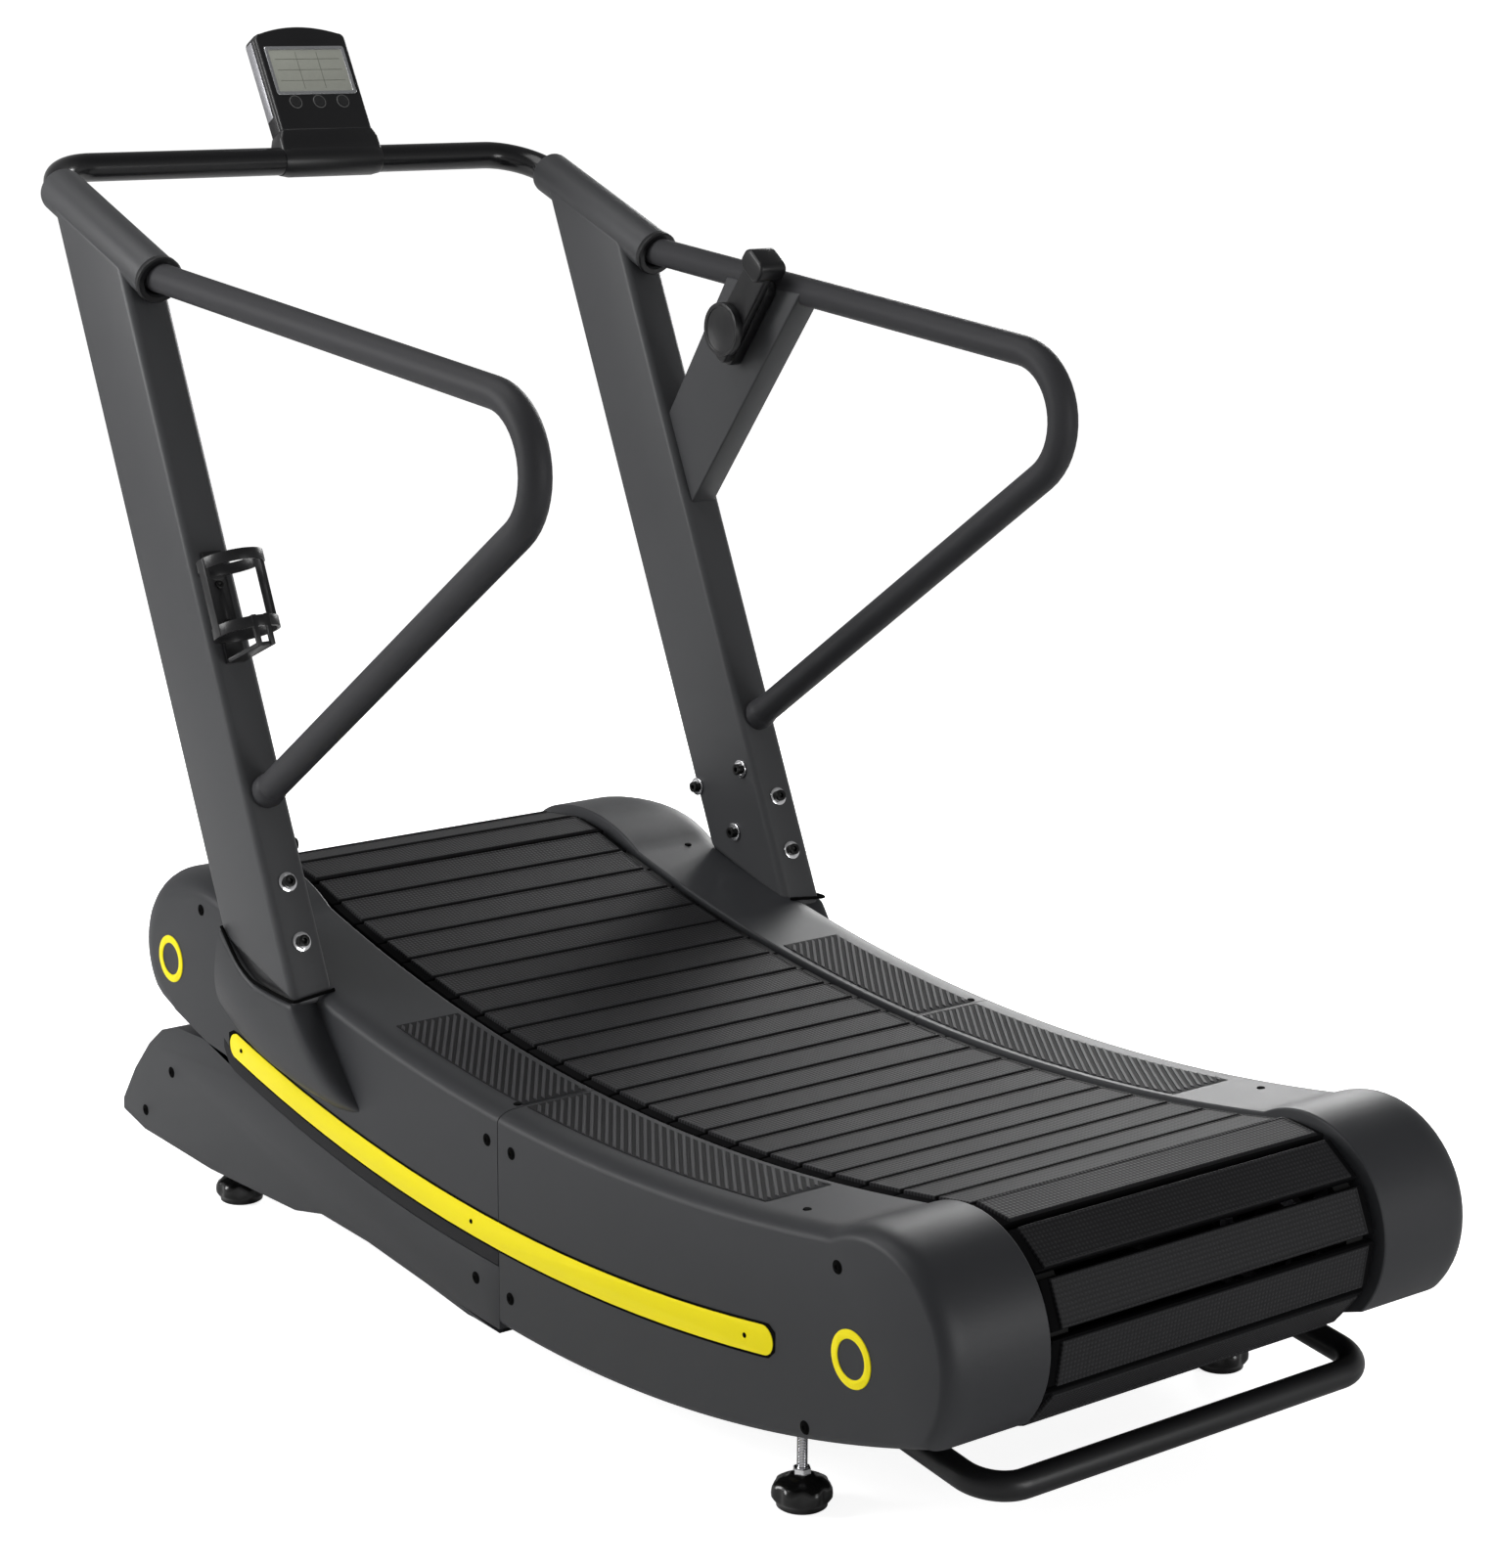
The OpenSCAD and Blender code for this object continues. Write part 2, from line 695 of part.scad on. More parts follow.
module magnets() {
    r0 = fly_r + magnet_gap;
    color([0.35, 0.35, 0.38]) yz(fly_in + 2, fly_in + fly_t - 2)
        for (a = [164, 180, 196]) sector(fly_c, r0, r0 + 5.8, a - 5, a + 5);
}

// ---------- console ----------
module console_bracket() {
    color(black) difference() {
        union() {
            on_console() translate([-console_w / 2, -14, 2]) cube([console_w, face_y + 14, 34]);
            rod([console_x - 52, bar_p[0], bar_p[1]], [console_x + 52, bar_p[0], bar_p[1]], rail_r + 5);
        }
        rod([console_x - 200, bar_p[0], bar_p[1]], [console_x + 200, bar_p[0], bar_p[1]], rail_r);
    }
}
module console_back() {
    color(black) on_console() difference() {
        translate([-console_w / 2, face_y - front_t - back_t, 36.2])
            cube([console_w, back_t, console_h - 36.2]);
        translate([-console_w / 2 + 3, face_y - front_t - back_t + 3, 39.2])
            cube([console_w - 6, back_t, console_h - 42.2]);
    }
}
screen_w = 118;
screen_h = 64;
module console_front() {
    color(black) on_console() difference() {
        translate([-console_w / 2, face_y - front_t, 36.2]) cube([console_w, front_t, console_h - 36.2]);
        translate([-console_w / 2 + 3, face_y - front_t - 1, 39.2])
            cube([console_w - 6, front_t - 2, console_h - 42.2]);
        translate([-screen_w / 2, 0, screen_z - screen_h / 2]) cube([screen_w, 40, screen_h]);
        for (i = [-1:1]) translate([i * button_step, 0, button_z]) rotate([-90, 0, 0])
            cylinder(r = 8.3, h = 40);
    }
}
module console_screen() {
    color([0.55, 0.58, 0.55]) on_console()
        translate([-screen_w / 2 - 2, face_y - 6, screen_z - screen_h / 2 - 2])
        cube([screen_w + 4, 2.8, screen_h + 4]);
}
module screen_bezel() {
    color(steel) on_console() difference() {
        translate([-screen_w / 2 - 4, face_y, screen_z - screen_h / 2 - 4])
            cube([screen_w + 8, 1.2, screen_h + 8]);
        translate([-screen_w / 2 + 1, face_y - 1, screen_z - screen_h / 2 + 1])
            cube([screen_w - 2, 4, screen_h - 2]);
    }
}
module button(i) {
    color(charcoal) on_console() translate([i * button_step, face_y - 5, button_z])
        rotate([-90, 0, 0]) cylinder(r = 8, h = 6.5);
}
module circuit_board() {
    color([0.1, 0.3, 0.15]) on_console()
        translate([-65, face_y - 13, 50]) cube([130, 1.6, 130]);
}

// ---------- bottle cage ----------
cage_z = 832;
cage_ring_r = 38;
// Frame on the left mast's rear face: z up the mast, y out of the face.
module on_cage() {
    translate([-rail_x, mast_rear(cage_z), cage_z]) rotate([-lean_a, 0, 0]) mirror([0, 1, 0]) children();
}
module bottle_cage() {
    strap_w = 14;
    out = cage_ring_r + 9;
    color(black) on_cage() difference() {
        union() {
            translate([-13, 0, -72]) cube([26, 6, 144]);
            // Upper hoop, open at the front, and lower hoop
            for (z = [46, -40]) translate([0, out, z]) difference() {
                cylinder(r = cage_ring_r + 4, h = strap_w, center = true);
                cylinder(r = cage_ring_r, h = strap_w + 2, center = true);
            }
            // Bottom rest and two side ribs
            translate([-12, 0, -72]) cube([24, out + 12, 5]);
            for (s = [-1, 1]) translate([s * (cage_ring_r + 1.5) - 2.5, out - 8, -46]) cube([5, 16, 98]);
            for (s = [-1, 1]) translate([s * 9 - 3, out + cage_ring_r - 1.5, -72]) cube([6, 5, 40]);
            translate([-12, out + 5, -72]) cube([24, cage_ring_r - 4, 5]);
        }
        for (z = [-22, 28]) translate([0, -1, z]) rotate([-90, 0, 0]) cylinder(r = 2.6, h = 9);
    }
}
module cage_screws() {
    color(steel) on_cage() for (z = [-22, 28]) translate([0, 6, z]) rotate([-90, 0, 0])
        difference() {
            cylinder(r = 5, h = 3);
            translate([0, 0, 1.5]) cylinder(r = 2.2, h = 3, $fn = 6);
        }
}

// ---------- covers ----------
plan_r = 76;
toe_r = 12;
// Rounds the front outer corner, seen from above.
module plan_cut() {
    front = front_axle[0] + nose_front_r;
    linear_extrude(height = 1000) {
        translate([200, -1000]) square([cover_x - 200, 1000 + front - plan_r]);
        translate([200, -1000]) square([cover_x - 200 - plan_r, 1000 + front + 1]);
        translate([cover_x - plan_r, front - plan_r]) circle(plan_r);
    }
}

module cover_shell() {
    side_x = cover_x - 13;
    difference() {
        union() {
            yz(cover_in, side_x) cover_outline(0);
            yz(side_x, cover_x) cover_outline(edge_drop);
        }
        yz(cover_in - 1, side_x - cover_wall) cover_outline(cover_wall);
        yz(side_x - cover_wall - 1, cover_x - cover_wall) cover_outline(edge_drop + cover_wall);
        // The underside is open
        yz(cover_in - 1, cover_x - cover_wall) intersection() {
            cover_outline(edge_drop + cover_wall);
            translate([-900, 0]) square([1500, 200]);
        }
        yz(cover_in - 1, cover_x - cover_wall) sill_opening();
    }
}
module sill_opening() {
    difference() {
        intersection() {
            big_circle(sill_c, sill_r + 1);
            translate([-870, 0]) square([1500, 260]);
        }
        big_circle(sill_c, sill_r - 20);
    }
}

module trim_seats() {
    yz(cover_x - 2, cover_x + 1) stripe_outline(0.4);
    for (p = ring_places) disc_yz(p, trim_r + 0.3, cover_x - 2, cover_x + 1);
}
ring_places = [rear_axle + [23, -18], front_axle + [10, -6]];
trim_r = 31.5;

module cover_front(side) {
    color(charcoal) on_side(side) difference() {
        union() {
            intersection() {
                cover_shell();
                plan_cut();
                yz(cover_in - 1, cover_x + 1) translate([split_y + 0.5, 0]) square([1000, 600]);
            }
            yz(cover_x - cover_wall, 425) polygon(boot_pts);
        }
        yz(cover_x - cover_wall - 1, 422) drawn_in(3) polygon(boot_pts);
        yz(cover_in - 1, cover_x + 50) translate([0, 1]) lower_outline();
        yz(mast_in - 1, mast_in + mast_w + 1) mast_outline(-1, 240);
        trim_seats();
    }
}

module cover_rear(side) {
    color(charcoal) on_side(side) difference() {
        intersection() {
            cover_shell();
            yz(cover_in - 1, cover_x + 1) translate([split_y - 1000.5, 0]) square([1000, 600]);
        }
        trim_seats();
    }
}

// Its rim is narrow beside the flywheel and the base rail, and wide over the toe.
module lower_cover(side) {
    rim_in = frame_in + frame_t + 1;
    color(charcoal) on_side(side) intersection() {
        difference() {
            union() {
                yz(rail_out + 6, cover_x) lower_outline();
                yz(rim_in, cover_x) intersection() {
                    lower_outline();
                    translate([480, 0]) square([400, 400]);
                }
            }
            yz(cover_in - 1, cover_x - cover_wall) drawn_in(cover_wall) lower_outline();
            // Room for the post under the mast
            yz(mast_in, cover_x - cover_wall) translate([-3, 0]) post_outline(145, 230);
            yz(mast_in, cover_x - cover_wall) translate([3, 0]) post_outline(145, 230);
            // Open underside
            yz(cover_in - 1, cover_x - cover_wall) translate([0, -6]) drawn_in(cover_wall) lower_outline();
        }
        toe_plan();
    }
}
module toe_plan() {
    linear_extrude(height = 400) {
        translate([200, -300]) square([cover_x - 200, 300 + 781 - toe_r]);
        translate([200, -300]) square([cover_x - 200 - toe_r, 300 + 782]);
        translate([cover_x - toe_r, 781 - toe_r]) circle(toe_r);
    }
}

// Ribbed treads on the foot rails, in two lengths on each side.
pad_in = 256;
pad_out = 346;
pad_front = 128;
pad_rear = -600;
module grip_pads() {
    color(black) for (side = [-1, 1]) on_side(side)
        for (run = [[pad_rear, split_y - 4], [split_y + 4, pad_front]]) {
            yz(pad_in, pad_out) intersection() {
                difference() {
                    big_circle(track_c, deck_r - 0.01);
                    big_circle(track_c, deck_r - 1.9);
                }
                translate([run[0], 200]) square([run[1] - run[0], 300]);
            }
        }
}

module stripes() {
    color(yellow) for (side = [-1, 1]) on_side(side)
        yz(cover_x - 2, cover_x + 1.2) stripe_outline(0);
}

module ring_trims() {
    color(yellow) for (side = [-1, 1]) on_side(side) for (p = ring_places) difference() {
        disc_yz(p, trim_r, cover_x - 2, cover_x + 1.2);
        disc_yz(p, trim_r - 10, cover_x - 3, cover_x + 2);
    }
}

screw_places = [[537, 421], [632, 176], [709, 103], [-128, 290], [-178, 287], [-101, 112],
                [-173, 108], [-768, 330], [-718, 138]];
module cover_screws() {
    color(black) for (side = [-1, 1]) on_side(side) {
        for (p = screw_places) disc_yz(p, 6.5, cover_x + 0.05, cover_x + 2);
        for (y = [-617, -94, 440]) disc_yz([y, stripe_z(y)], 3, cover_x + 1.25, cover_x + 2.2);
    }
}

// ---------- slat belt ----------
// One cross-section placed all round the belt, drawn outwards from the pitch line.
module along_belt() {
    for (i = [0:slat_count - 1]) {
        at = path_at((i + 0.5) * slat_pitch);
        translate([0, at[0][0], at[0][1]]) rotate([at[1] - 90, 0, 0]) children();
    }
}
module slats() {
    color(black) along_belt() {
        translate([-slat_len / 2, -slat_w / 2, gap]) cube([slat_len, slat_w, slat_t - gap]);
    }
}
module slat_treads() {
    color(charcoal) along_belt()
        translate([-slat_len / 2 + 3, -slat_w / 2 + 1, slat_t]) cube([slat_len - 6, slat_w - 2, tread_t]);
}

// Region inside the pitch line, drawn in by t.
module loop_outline(t) {
    foot_y = crown_c[0] + pitch_crown * cos(crown_start);
    difference() {
        union() {
            translate(rear_axle) circle(pitch_rear + lap - t, $fn = big_fn);
            intersection() {
                big_circle(return_c, return_r - t);
                union() {
                    front_end(pitch_crown - t, pitch_front + lap - t,
                              on(return_c, return_r + 90, return_a1));
                    polygon([on(rear_axle, 300, track_a0 - 180), rear_axle,
                             on(return_c, return_r + 90, return_a0), [foot_y, 0],
                             [foot_y, 500]]);
                }
            }
            translate(front_axle) circle(pitch_front + lap - t, $fn = big_fn);
        }
        big_circle(track_c, pitch_track + lap + t);
    }
}

module drive_belts() {
    color(black) for (side = [-1, 1]) on_side(side)
        yz(drive_in, drive_out) difference() {
            loop_outline(0);
            loop_outline(belt_t);
        }
}

axle_r = 15;
axle_half = 284;
module drum(p, r, half) {
    color(steel) {
        disc_yz(p, axle_r, -half, half);
        for (side = [-1, 1]) on_side(side) {
            difference() {
                disc_yz(p, r, drive_in - 2, drive_out + 2);
                disc_yz(p, r - 12, drive_in - 3, drive_in + 8);
                disc_yz(p, r - 12, drive_out - 8, drive_out + 3);
                for (a = [0:60:300])
                    disc_yz(on(p, r * 0.58, a), r * 0.2, drive_in, drive_out);
                disc_yz(p, axle_r - 1, drive_in - 3, drive_out + 3);
            }
            difference() {
                disc_yz(p, 30, drive_in - 2, drive_out + 2);
                disc_yz(p, axle_r - 1, drive_in - 3, drive_out + 3);
            }
        }
    }
}
module front_drum() {
    drum(front_axle, pitch_front - belt_t - gap, axle_half);
    color(steel) fly_pulley(front_axle, drive_pulley_r);
}
module rear_drum() {
    drum(rear_axle, pitch_rear - belt_t - gap, axle_half);
}

module axle_bearings() {
    color(steel) {
        for (side = [-1, 1], p = [rear_axle, front_axle]) on_side(side) difference() {
            union() {
                disc_yz(p, 35.9, frame_in - 4, frame_in + frame_t + 8);
                disc_yz(p, 46, frame_in + frame_t, frame_in + frame_t + 6);
            }
            disc_yz(p, axle_r + fit, frame_in - 5, frame_in + frame_t + 9);
        }
        // Flywheel shaft and brake pin on the right side frame
        disc_yz(fly_c, 8, frame_in + frame_t, 297);
        disc_yz(brake_p, 5, frame_in + frame_t, fly_in + fly_t + 2);
    }
}

bearing_r = 15;
bearing_count = 13;
module track_bearings() {
    r = pitch_track + belt_t + gap + bearing_r;
    crown_in = pitch_crown - belt_t - gap - bearing_r;
    color(steel) for (side = [-1, 1]) on_side(side) for (i = [0:bearing_count - 1]) {
        a = track_a0 + 1.8 + (track_a1 - track_a0 - 3.6) * i / (bearing_count - 1);
        disc_yz(on(track_c, r, a), bearing_r, 213, 224);
        disc_yz(on(track_c, r, a), 5, 224, frame_in);
    }
    color(steel) for (side = [-1, 1]) on_side(side) {
        disc_yz(on(crown_c, crown_in, 101), bearing_r, 213, 224);
        disc_yz(on(crown_c, crown_in, 101), 5, 224, frame_in);
    }
}

module return_roller(y) {
    p = [y, roller_z(y)];
    color(black) {
        disc_yz(p, roller_r, -frame_in + 2, frame_in - 2);
        disc_yz(p, roller_pin_r, -frame_in - frame_t, frame_in + frame_t);
    }
}

// ---------- feet ----------
module foot(y, side) {
    lobes = 7;
    color(black) translate([side * foot_x, y, 0]) {
        difference() {
            union() {
                cylinder(r = knob_r - 7, h = 6);
                translate([0, 0, 6]) cylinder(r = knob_r - 5, h = 22);
                for (i = [0:lobes - 1]) rotate([0, 0, 360 * i / lobes])
                    translate([knob_r - 9, 0, 8]) cylinder(r = 9, h = 18);
                translate([0, 0, 28]) cylinder(r1 = 20, r2 = 12, h = 8);
            }
        }
        translate([0, 0, 34]) cylinder(r = stem_r, h = base_z + base_h - 34 - 14);
    }
}
module foot_lock_nuts() {
    color(steel) for (f = foot_z) translate([f[1] * foot_x, f[0], base_z - 9]) difference() {
        cylinder(r = 11, h = 9, $fn = 6);
        translate([0, 0, -1]) cylinder(r = stem_r + fit, h = 12);
    }
}

centred() side_frame(-1);  // side_frame_left
centred() side_frame(1);  // side_frame_right
centred() cross_members();
centred() base_rail(-1);  // base_rail_left
centred() base_rail(1);  // base_rail_right
centred() mast(-1);  // mast_left
centred() mast(1);  // mast_right
centred() sleeve_rings();
centred() front_handlebar();
centred() side_rail(-1);  // side_rail_left
centred() side_rail(1);  // side_rail_right
centred() lever_strut();
centred() lever_housing();
centred() shift_lever();
centred() lever_hub_cap();
centred() lever_cable();
centred() mast_bolts();
centred() mast_washers();
centred() console_bracket();
centred() console_back();
centred() console_front();
centred() console_screen();
centred() screen_bezel();
centred() button(-1);  // button_left
centred() button(0);  // button_middle
centred() button(1);  // button_right
centred() circuit_board();
centred() bottle_cage();
centred() cage_screws();
centred() cover_front(-1);  // cover_front_left
centred() cover_front(1);  // cover_front_right
centred() cover_rear(-1);  // cover_rear_left
centred() cover_rear(1);  // cover_rear_right
centred() lower_cover(-1);  // lower_cover_left
centred() lower_cover(1);  // lower_cover_right
centred() grip_pads();
centred() stripes();
centred() ring_trims();
centred() cover_screws();
centred() slats();
centred() slat_treads();
centred() drive_belts();
centred() front_drum();
centred() rear_drum();
centred() axle_bearings();
centred() track_bearings();
centred() return_roller(roller_y[1]);  // return_roller_front
centred() return_roller(roller_y[0]);  // return_roller_rear
centred() flywheel();
centred() flywheel_belt();
centred() magnet_bracket();
centred() magnets();
centred() transport_wheel(-1);  // transport_wheel_left
centred() transport_wheel(1);  // transport_wheel_right
centred() foot(foot_front_y, -1);  // foot_front_left
centred() foot(foot_front_y, 1);  // foot_front_right
centred() foot(foot_rear_y, -1);  // foot_rear_left
centred() foot(foot_rear_y, 1);  // foot_rear_right
centred() foot_lock_nuts();
centred() lift_bar();
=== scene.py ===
"""Looks for the curved manual treadmill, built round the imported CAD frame. Metres, +Y forward, +Z up."""

import json
import math

import bmesh
import bpy
from mathutils import Matrix, Vector


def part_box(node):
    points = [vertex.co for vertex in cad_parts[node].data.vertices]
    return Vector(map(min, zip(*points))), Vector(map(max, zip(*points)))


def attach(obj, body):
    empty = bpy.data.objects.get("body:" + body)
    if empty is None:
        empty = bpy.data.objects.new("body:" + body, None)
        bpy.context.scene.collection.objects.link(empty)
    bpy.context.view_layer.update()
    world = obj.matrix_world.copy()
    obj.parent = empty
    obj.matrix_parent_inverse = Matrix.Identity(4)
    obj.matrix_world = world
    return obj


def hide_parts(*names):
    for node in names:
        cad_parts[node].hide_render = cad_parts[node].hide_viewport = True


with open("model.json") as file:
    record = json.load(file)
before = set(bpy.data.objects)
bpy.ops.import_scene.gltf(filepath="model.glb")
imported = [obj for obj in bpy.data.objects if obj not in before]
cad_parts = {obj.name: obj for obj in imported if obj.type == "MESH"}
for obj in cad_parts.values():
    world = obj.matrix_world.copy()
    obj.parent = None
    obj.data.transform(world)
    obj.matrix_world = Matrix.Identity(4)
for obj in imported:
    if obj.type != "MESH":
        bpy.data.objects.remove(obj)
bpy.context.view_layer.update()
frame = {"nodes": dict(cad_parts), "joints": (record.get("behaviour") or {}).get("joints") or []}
NODES = frame["nodes"]

# Pieces are drawn in millimetres in a side view whose y starts MID_Y behind the frame's origin.
K = 0.001
JOINT_AT = {joint["name"]: joint.get("pos_m") for joint in frame["joints"]}
REAR_JOINT, FRONT_JOINT = JOINT_AT["rear_drum_spin"], JOINT_AT["front_drum_spin"]
MID_Y = round(-815.0 - REAR_JOINT[1] / K, 3)

# ------------------------ camera, floor, light


def linked(name, data):
    """New object in the scene that shows the given data."""
    obj = bpy.data.objects.new(name, data)
    bpy.context.scene.collection.objects.link(obj)
    return obj


CAMERA_AT = (-2.4873, -3.3137 - MID_Y * K, 1.5996)
CAMERA_BACK = (-0.5980, -0.7685, 0.2265)  # from the machine towards the camera
CAMERA_RIGHT = (0.7890, -0.6144, 0.0)
CAMERA_ROLL = 0.0055
CAMERA_LENS = 79.31


def look_camera():
    """Camera behind the machine's left rear corner, as in the photograph."""
    cam = bpy.data.cameras.new("camera")
    obj = linked("camera", cam)
    back = Vector(CAMERA_BACK).normalized()
    right = Vector(CAMERA_RIGHT).normalized()
    up = back.cross(right)
    c, s = math.cos(CAMERA_ROLL), math.sin(CAMERA_ROLL)
    right, up = right * c + up * s, up * c - right * s
    rot = Matrix((right, up, back)).transposed()
    obj.matrix_world = Matrix.Translation(CAMERA_AT) @ rot.to_4x4()
    cam.lens = CAMERA_LENS
    cam.sensor_width = 36.0
    cam.clip_end = 100.0
    bpy.context.scene.camera = obj


def area_light(name, at, target, size, power, size_y=None):
    """Soft rectangular light at a place in metres, aimed at a target."""
    data = bpy.data.lights.new(name, "AREA")
    data.energy = power
    data.size = size
    if size_y:
        data.shape = "RECTANGLE"
        data.size_y = size_y
    obj = linked(name, data)
    obj.location = at
    obj.rotation_euler = (Vector(target) - Vector(at)).to_track_quat("-Z", "Y").to_euler()


def shader(nt, kind, values=None):
    """New shader node with the given input values."""
    node = nt.nodes.new("ShaderNode" + kind)
    for key, value in (values or {}).items():
        node.inputs[key].default_value = value
    return node


def camera_sees(nt, seen, others):
    """Strength that is `seen` in the camera's own rays and `others` in the light on the object."""
    path = shader(nt, "LightPath")
    pick = shader(nt, "MapRange", {"To Min": others, "To Max": seen})
    nt.links.new(path.outputs["Is Camera Ray"], pick.inputs["Value"])
    return pick.outputs["Result"]


FLOOR_HALF, FLOOR_Z = 14.0, -0.0005


def studio():
    """Pale floor, even sky and four soft lights."""
    world = bpy.data.worlds.new("studio")
    bpy.context.scene.world = world
    world.use_nodes = True
    nt = world.node_tree
    bg = nt.nodes["Background"]
    bg.inputs[0].default_value = (1.0, 1.0, 1.0, 1.0)
    strength = camera_sees(nt, 1.05, 0.30)
    # Away from the camera's own rays the sky is brighter near the horizon.
    co = shader(nt, "TexCoord")
    xyz = shader(nt, "SeparateXYZ")
    fade = shader(nt, "MapRange", {"From Min": 0.0, "From Max": 0.7, "To Min": 0.52, "To Max": 0.16})
    nt.links.new(co.outputs["Generated"], xyz.inputs[0])
    nt.links.new(xyz.outputs["Z"], fade.inputs["Value"])
    nt.links.new(fade.outputs["Result"], strength.node.inputs["To Min"])
    nt.links.new(strength, bg.inputs[1])
    bpy.context.scene.view_settings.view_transform = "Standard"
    area_light("key", (-1.2, 1.0, 4.0), (0, 0, 0.4), 2.4, 54)
    area_light("side", (-3.6, 2.4, 2.2), (-0.39, 0.55, 1.0), 1.6, 125, 2.2)
    area_light("back", (3.1, 2.1, 1.9), (0.3, -0.3, 0.4), 1.3, 62, 1.5)
    area_light("rear", (1.2, -4.2, 1.1), (0.05, -0.9, 0.25), 1.4, 46, 1.4)
    me = bpy.data.meshes.new("floor")
    corners = [(x * FLOOR_HALF, y * FLOOR_HALF, FLOOR_Z) for x, y in ((-1, -1), (1, -1), (1, 1), (-1, 1))]
    me.from_pydata(corners, [], [(0, 1, 2, 3)])
    floor = linked("floor", me)
    paint = material("floor_paint", (0.90, 0.90, 0.90), 0.9, grain=6, bump=0.01, vary=0.01, spec=0.1)
    bsdf = paint.node_tree.nodes["Principled BSDF"]
    bsdf.inputs["Emission Color"].default_value = (1.0, 1.0, 1.0, 1.0)
    paint.node_tree.links.new(camera_sees(paint.node_tree, 0.85, 0.0), bsdf.inputs["Emission Strength"])
    me.materials.append(paint)


# ------------------------ materials


BROAD_SCALE = 6.0  # of the slow change in tone, beside each material's own fine grain
FINE_SHARE, BROAD_SHARE = 0.45, 0.55


def material(name, color, rough, metal=0.0, grain=900.0, bump=0.15, vary=0.12, coat=0.0, rough_vary=0.12,
             distance=0.0004, spec=0.5, kind="Noise", stretch=(1, 1, 1)):
    """Principled material whose colour, roughness and bump come from noise at two scales."""
    m = bpy.data.materials.new("look_" + name)
    m.use_nodes = True
    nt = m.node_tree
    link = nt.links.new
    bsdf = nt.nodes["Principled BSDF"]
    for key, value in {"Metallic": metal, "Specular IOR Level": spec, "Coat Weight": coat,
                       "Coat Roughness": 0.15}.items():
        bsdf.inputs[key].default_value = value
    co = shader(nt, "TexCoord")
    place = shader(nt, "Mapping", {"Scale": stretch})
    link(co.outputs["Object"], place.inputs["Vector"])
    broad = shader(nt, "TexNoise", {"Scale": BROAD_SCALE, "Detail": 4.0})
    fine = shader(nt, "Tex" + kind, {"Scale": grain})
    if kind == "Noise":
        fine.inputs["Detail"].default_value = 3.0
    for noise in (broad, fine):
        link(place.outputs["Vector"], noise.inputs["Vector"])
    broad_part = shader(nt, "Math", {1: BROAD_SHARE})
    broad_part.operation = "MULTIPLY"
    link(broad.outputs[0], broad_part.inputs[0])
    mix = shader(nt, "Math", {1: FINE_SHARE})
    mix.operation = "MULTIPLY_ADD"
    link(fine.outputs[0], mix.inputs[0])
    link(broad_part.outputs[0], mix.inputs[2])
    ramp = shader(nt, "ValToRGB")
    for stop, position, factor in zip(ramp.color_ramp.elements, (0.3, 0.7), (1 - vary, 1 + vary)):
        stop.position = position
        stop.color = (*[min(1.0, c * factor) for c in color], 1)
    link(mix.outputs[0], ramp.inputs["Fac"])
    link(ramp.outputs["Color"], bsdf.inputs["Base Color"])
    rough_map = shader(nt, "MapRange", {"To Min": max(0.02, rough - rough_vary / 2),
                                        "To Max": min(1.0, rough + rough_vary / 2)})
    link(mix.outputs[0], rough_map.inputs["Value"])
    link(rough_map.outputs["Result"], bsdf.inputs["Roughness"])
    relief = shader(nt, "Bump", {"Strength": bump, "Distance": distance})
    link(fine.outputs[0], relief.inputs["Height"])
    link(relief.outputs["Normal"], bsdf.inputs["Normal"])
    return m


WAVE_LENGTH = 0.314  # metres that one band of Blender's wave texture covers at scale 1


def knurl(name, color, rough, pitch, spec):
    """Rubber with a fine square grid moulded into it, pitch metres apart."""
    m = material(name, color, rough, grain=700, bump=0.1, vary=0.25, spec=spec)
    nt = m.node_tree
    link = nt.links.new
    bsdf = nt.nodes["Principled BSDF"]
    uv = next(n for n in nt.nodes if n.bl_idname == "ShaderNodeTexCoord").outputs["UV"]
    grid = shader(nt, "Math")
    grid.operation = "MULTIPLY"
    for socket, axis in enumerate(("X", "Y")):
        wave = shader(nt, "TexWave", {"Scale": WAVE_LENGTH / pitch})
        wave.bands_direction = axis
        link(uv, wave.inputs["Vector"])
        link(wave.outputs["Fac"], grid.inputs[socket])
    relief = shader(nt, "Bump", {"Strength": 0.6, "Distance": 0.0008})
    link(grid.outputs[0], relief.inputs["Height"])
    link(relief.outputs["Normal"], bsdf.inputs["Normal"].links[0].from_node.inputs["Normal"])
    # The grid darkens the colour in the grooves and lightens it on the tops: painted shade and painted
    # highlight on the knurl.
    tone = shader(nt, "MapRange", {"To Min": 0.45, "To Max": 1.25})
    link(grid.outputs[0], tone.inputs["Value"])
    shade = shader(nt, "Mix", {0: 1.0})
    shade.data_type = "RGBA"
    shade.blend_type = "MULTIPLY"
    link(bsdf.inputs["Base Color"].links[0].from_socket, shade.inputs[6])
    link(tone.outputs["Result"], shade.inputs[7])
    link(shade.outputs[2], bsdf.inputs["Base Color"])
    return m
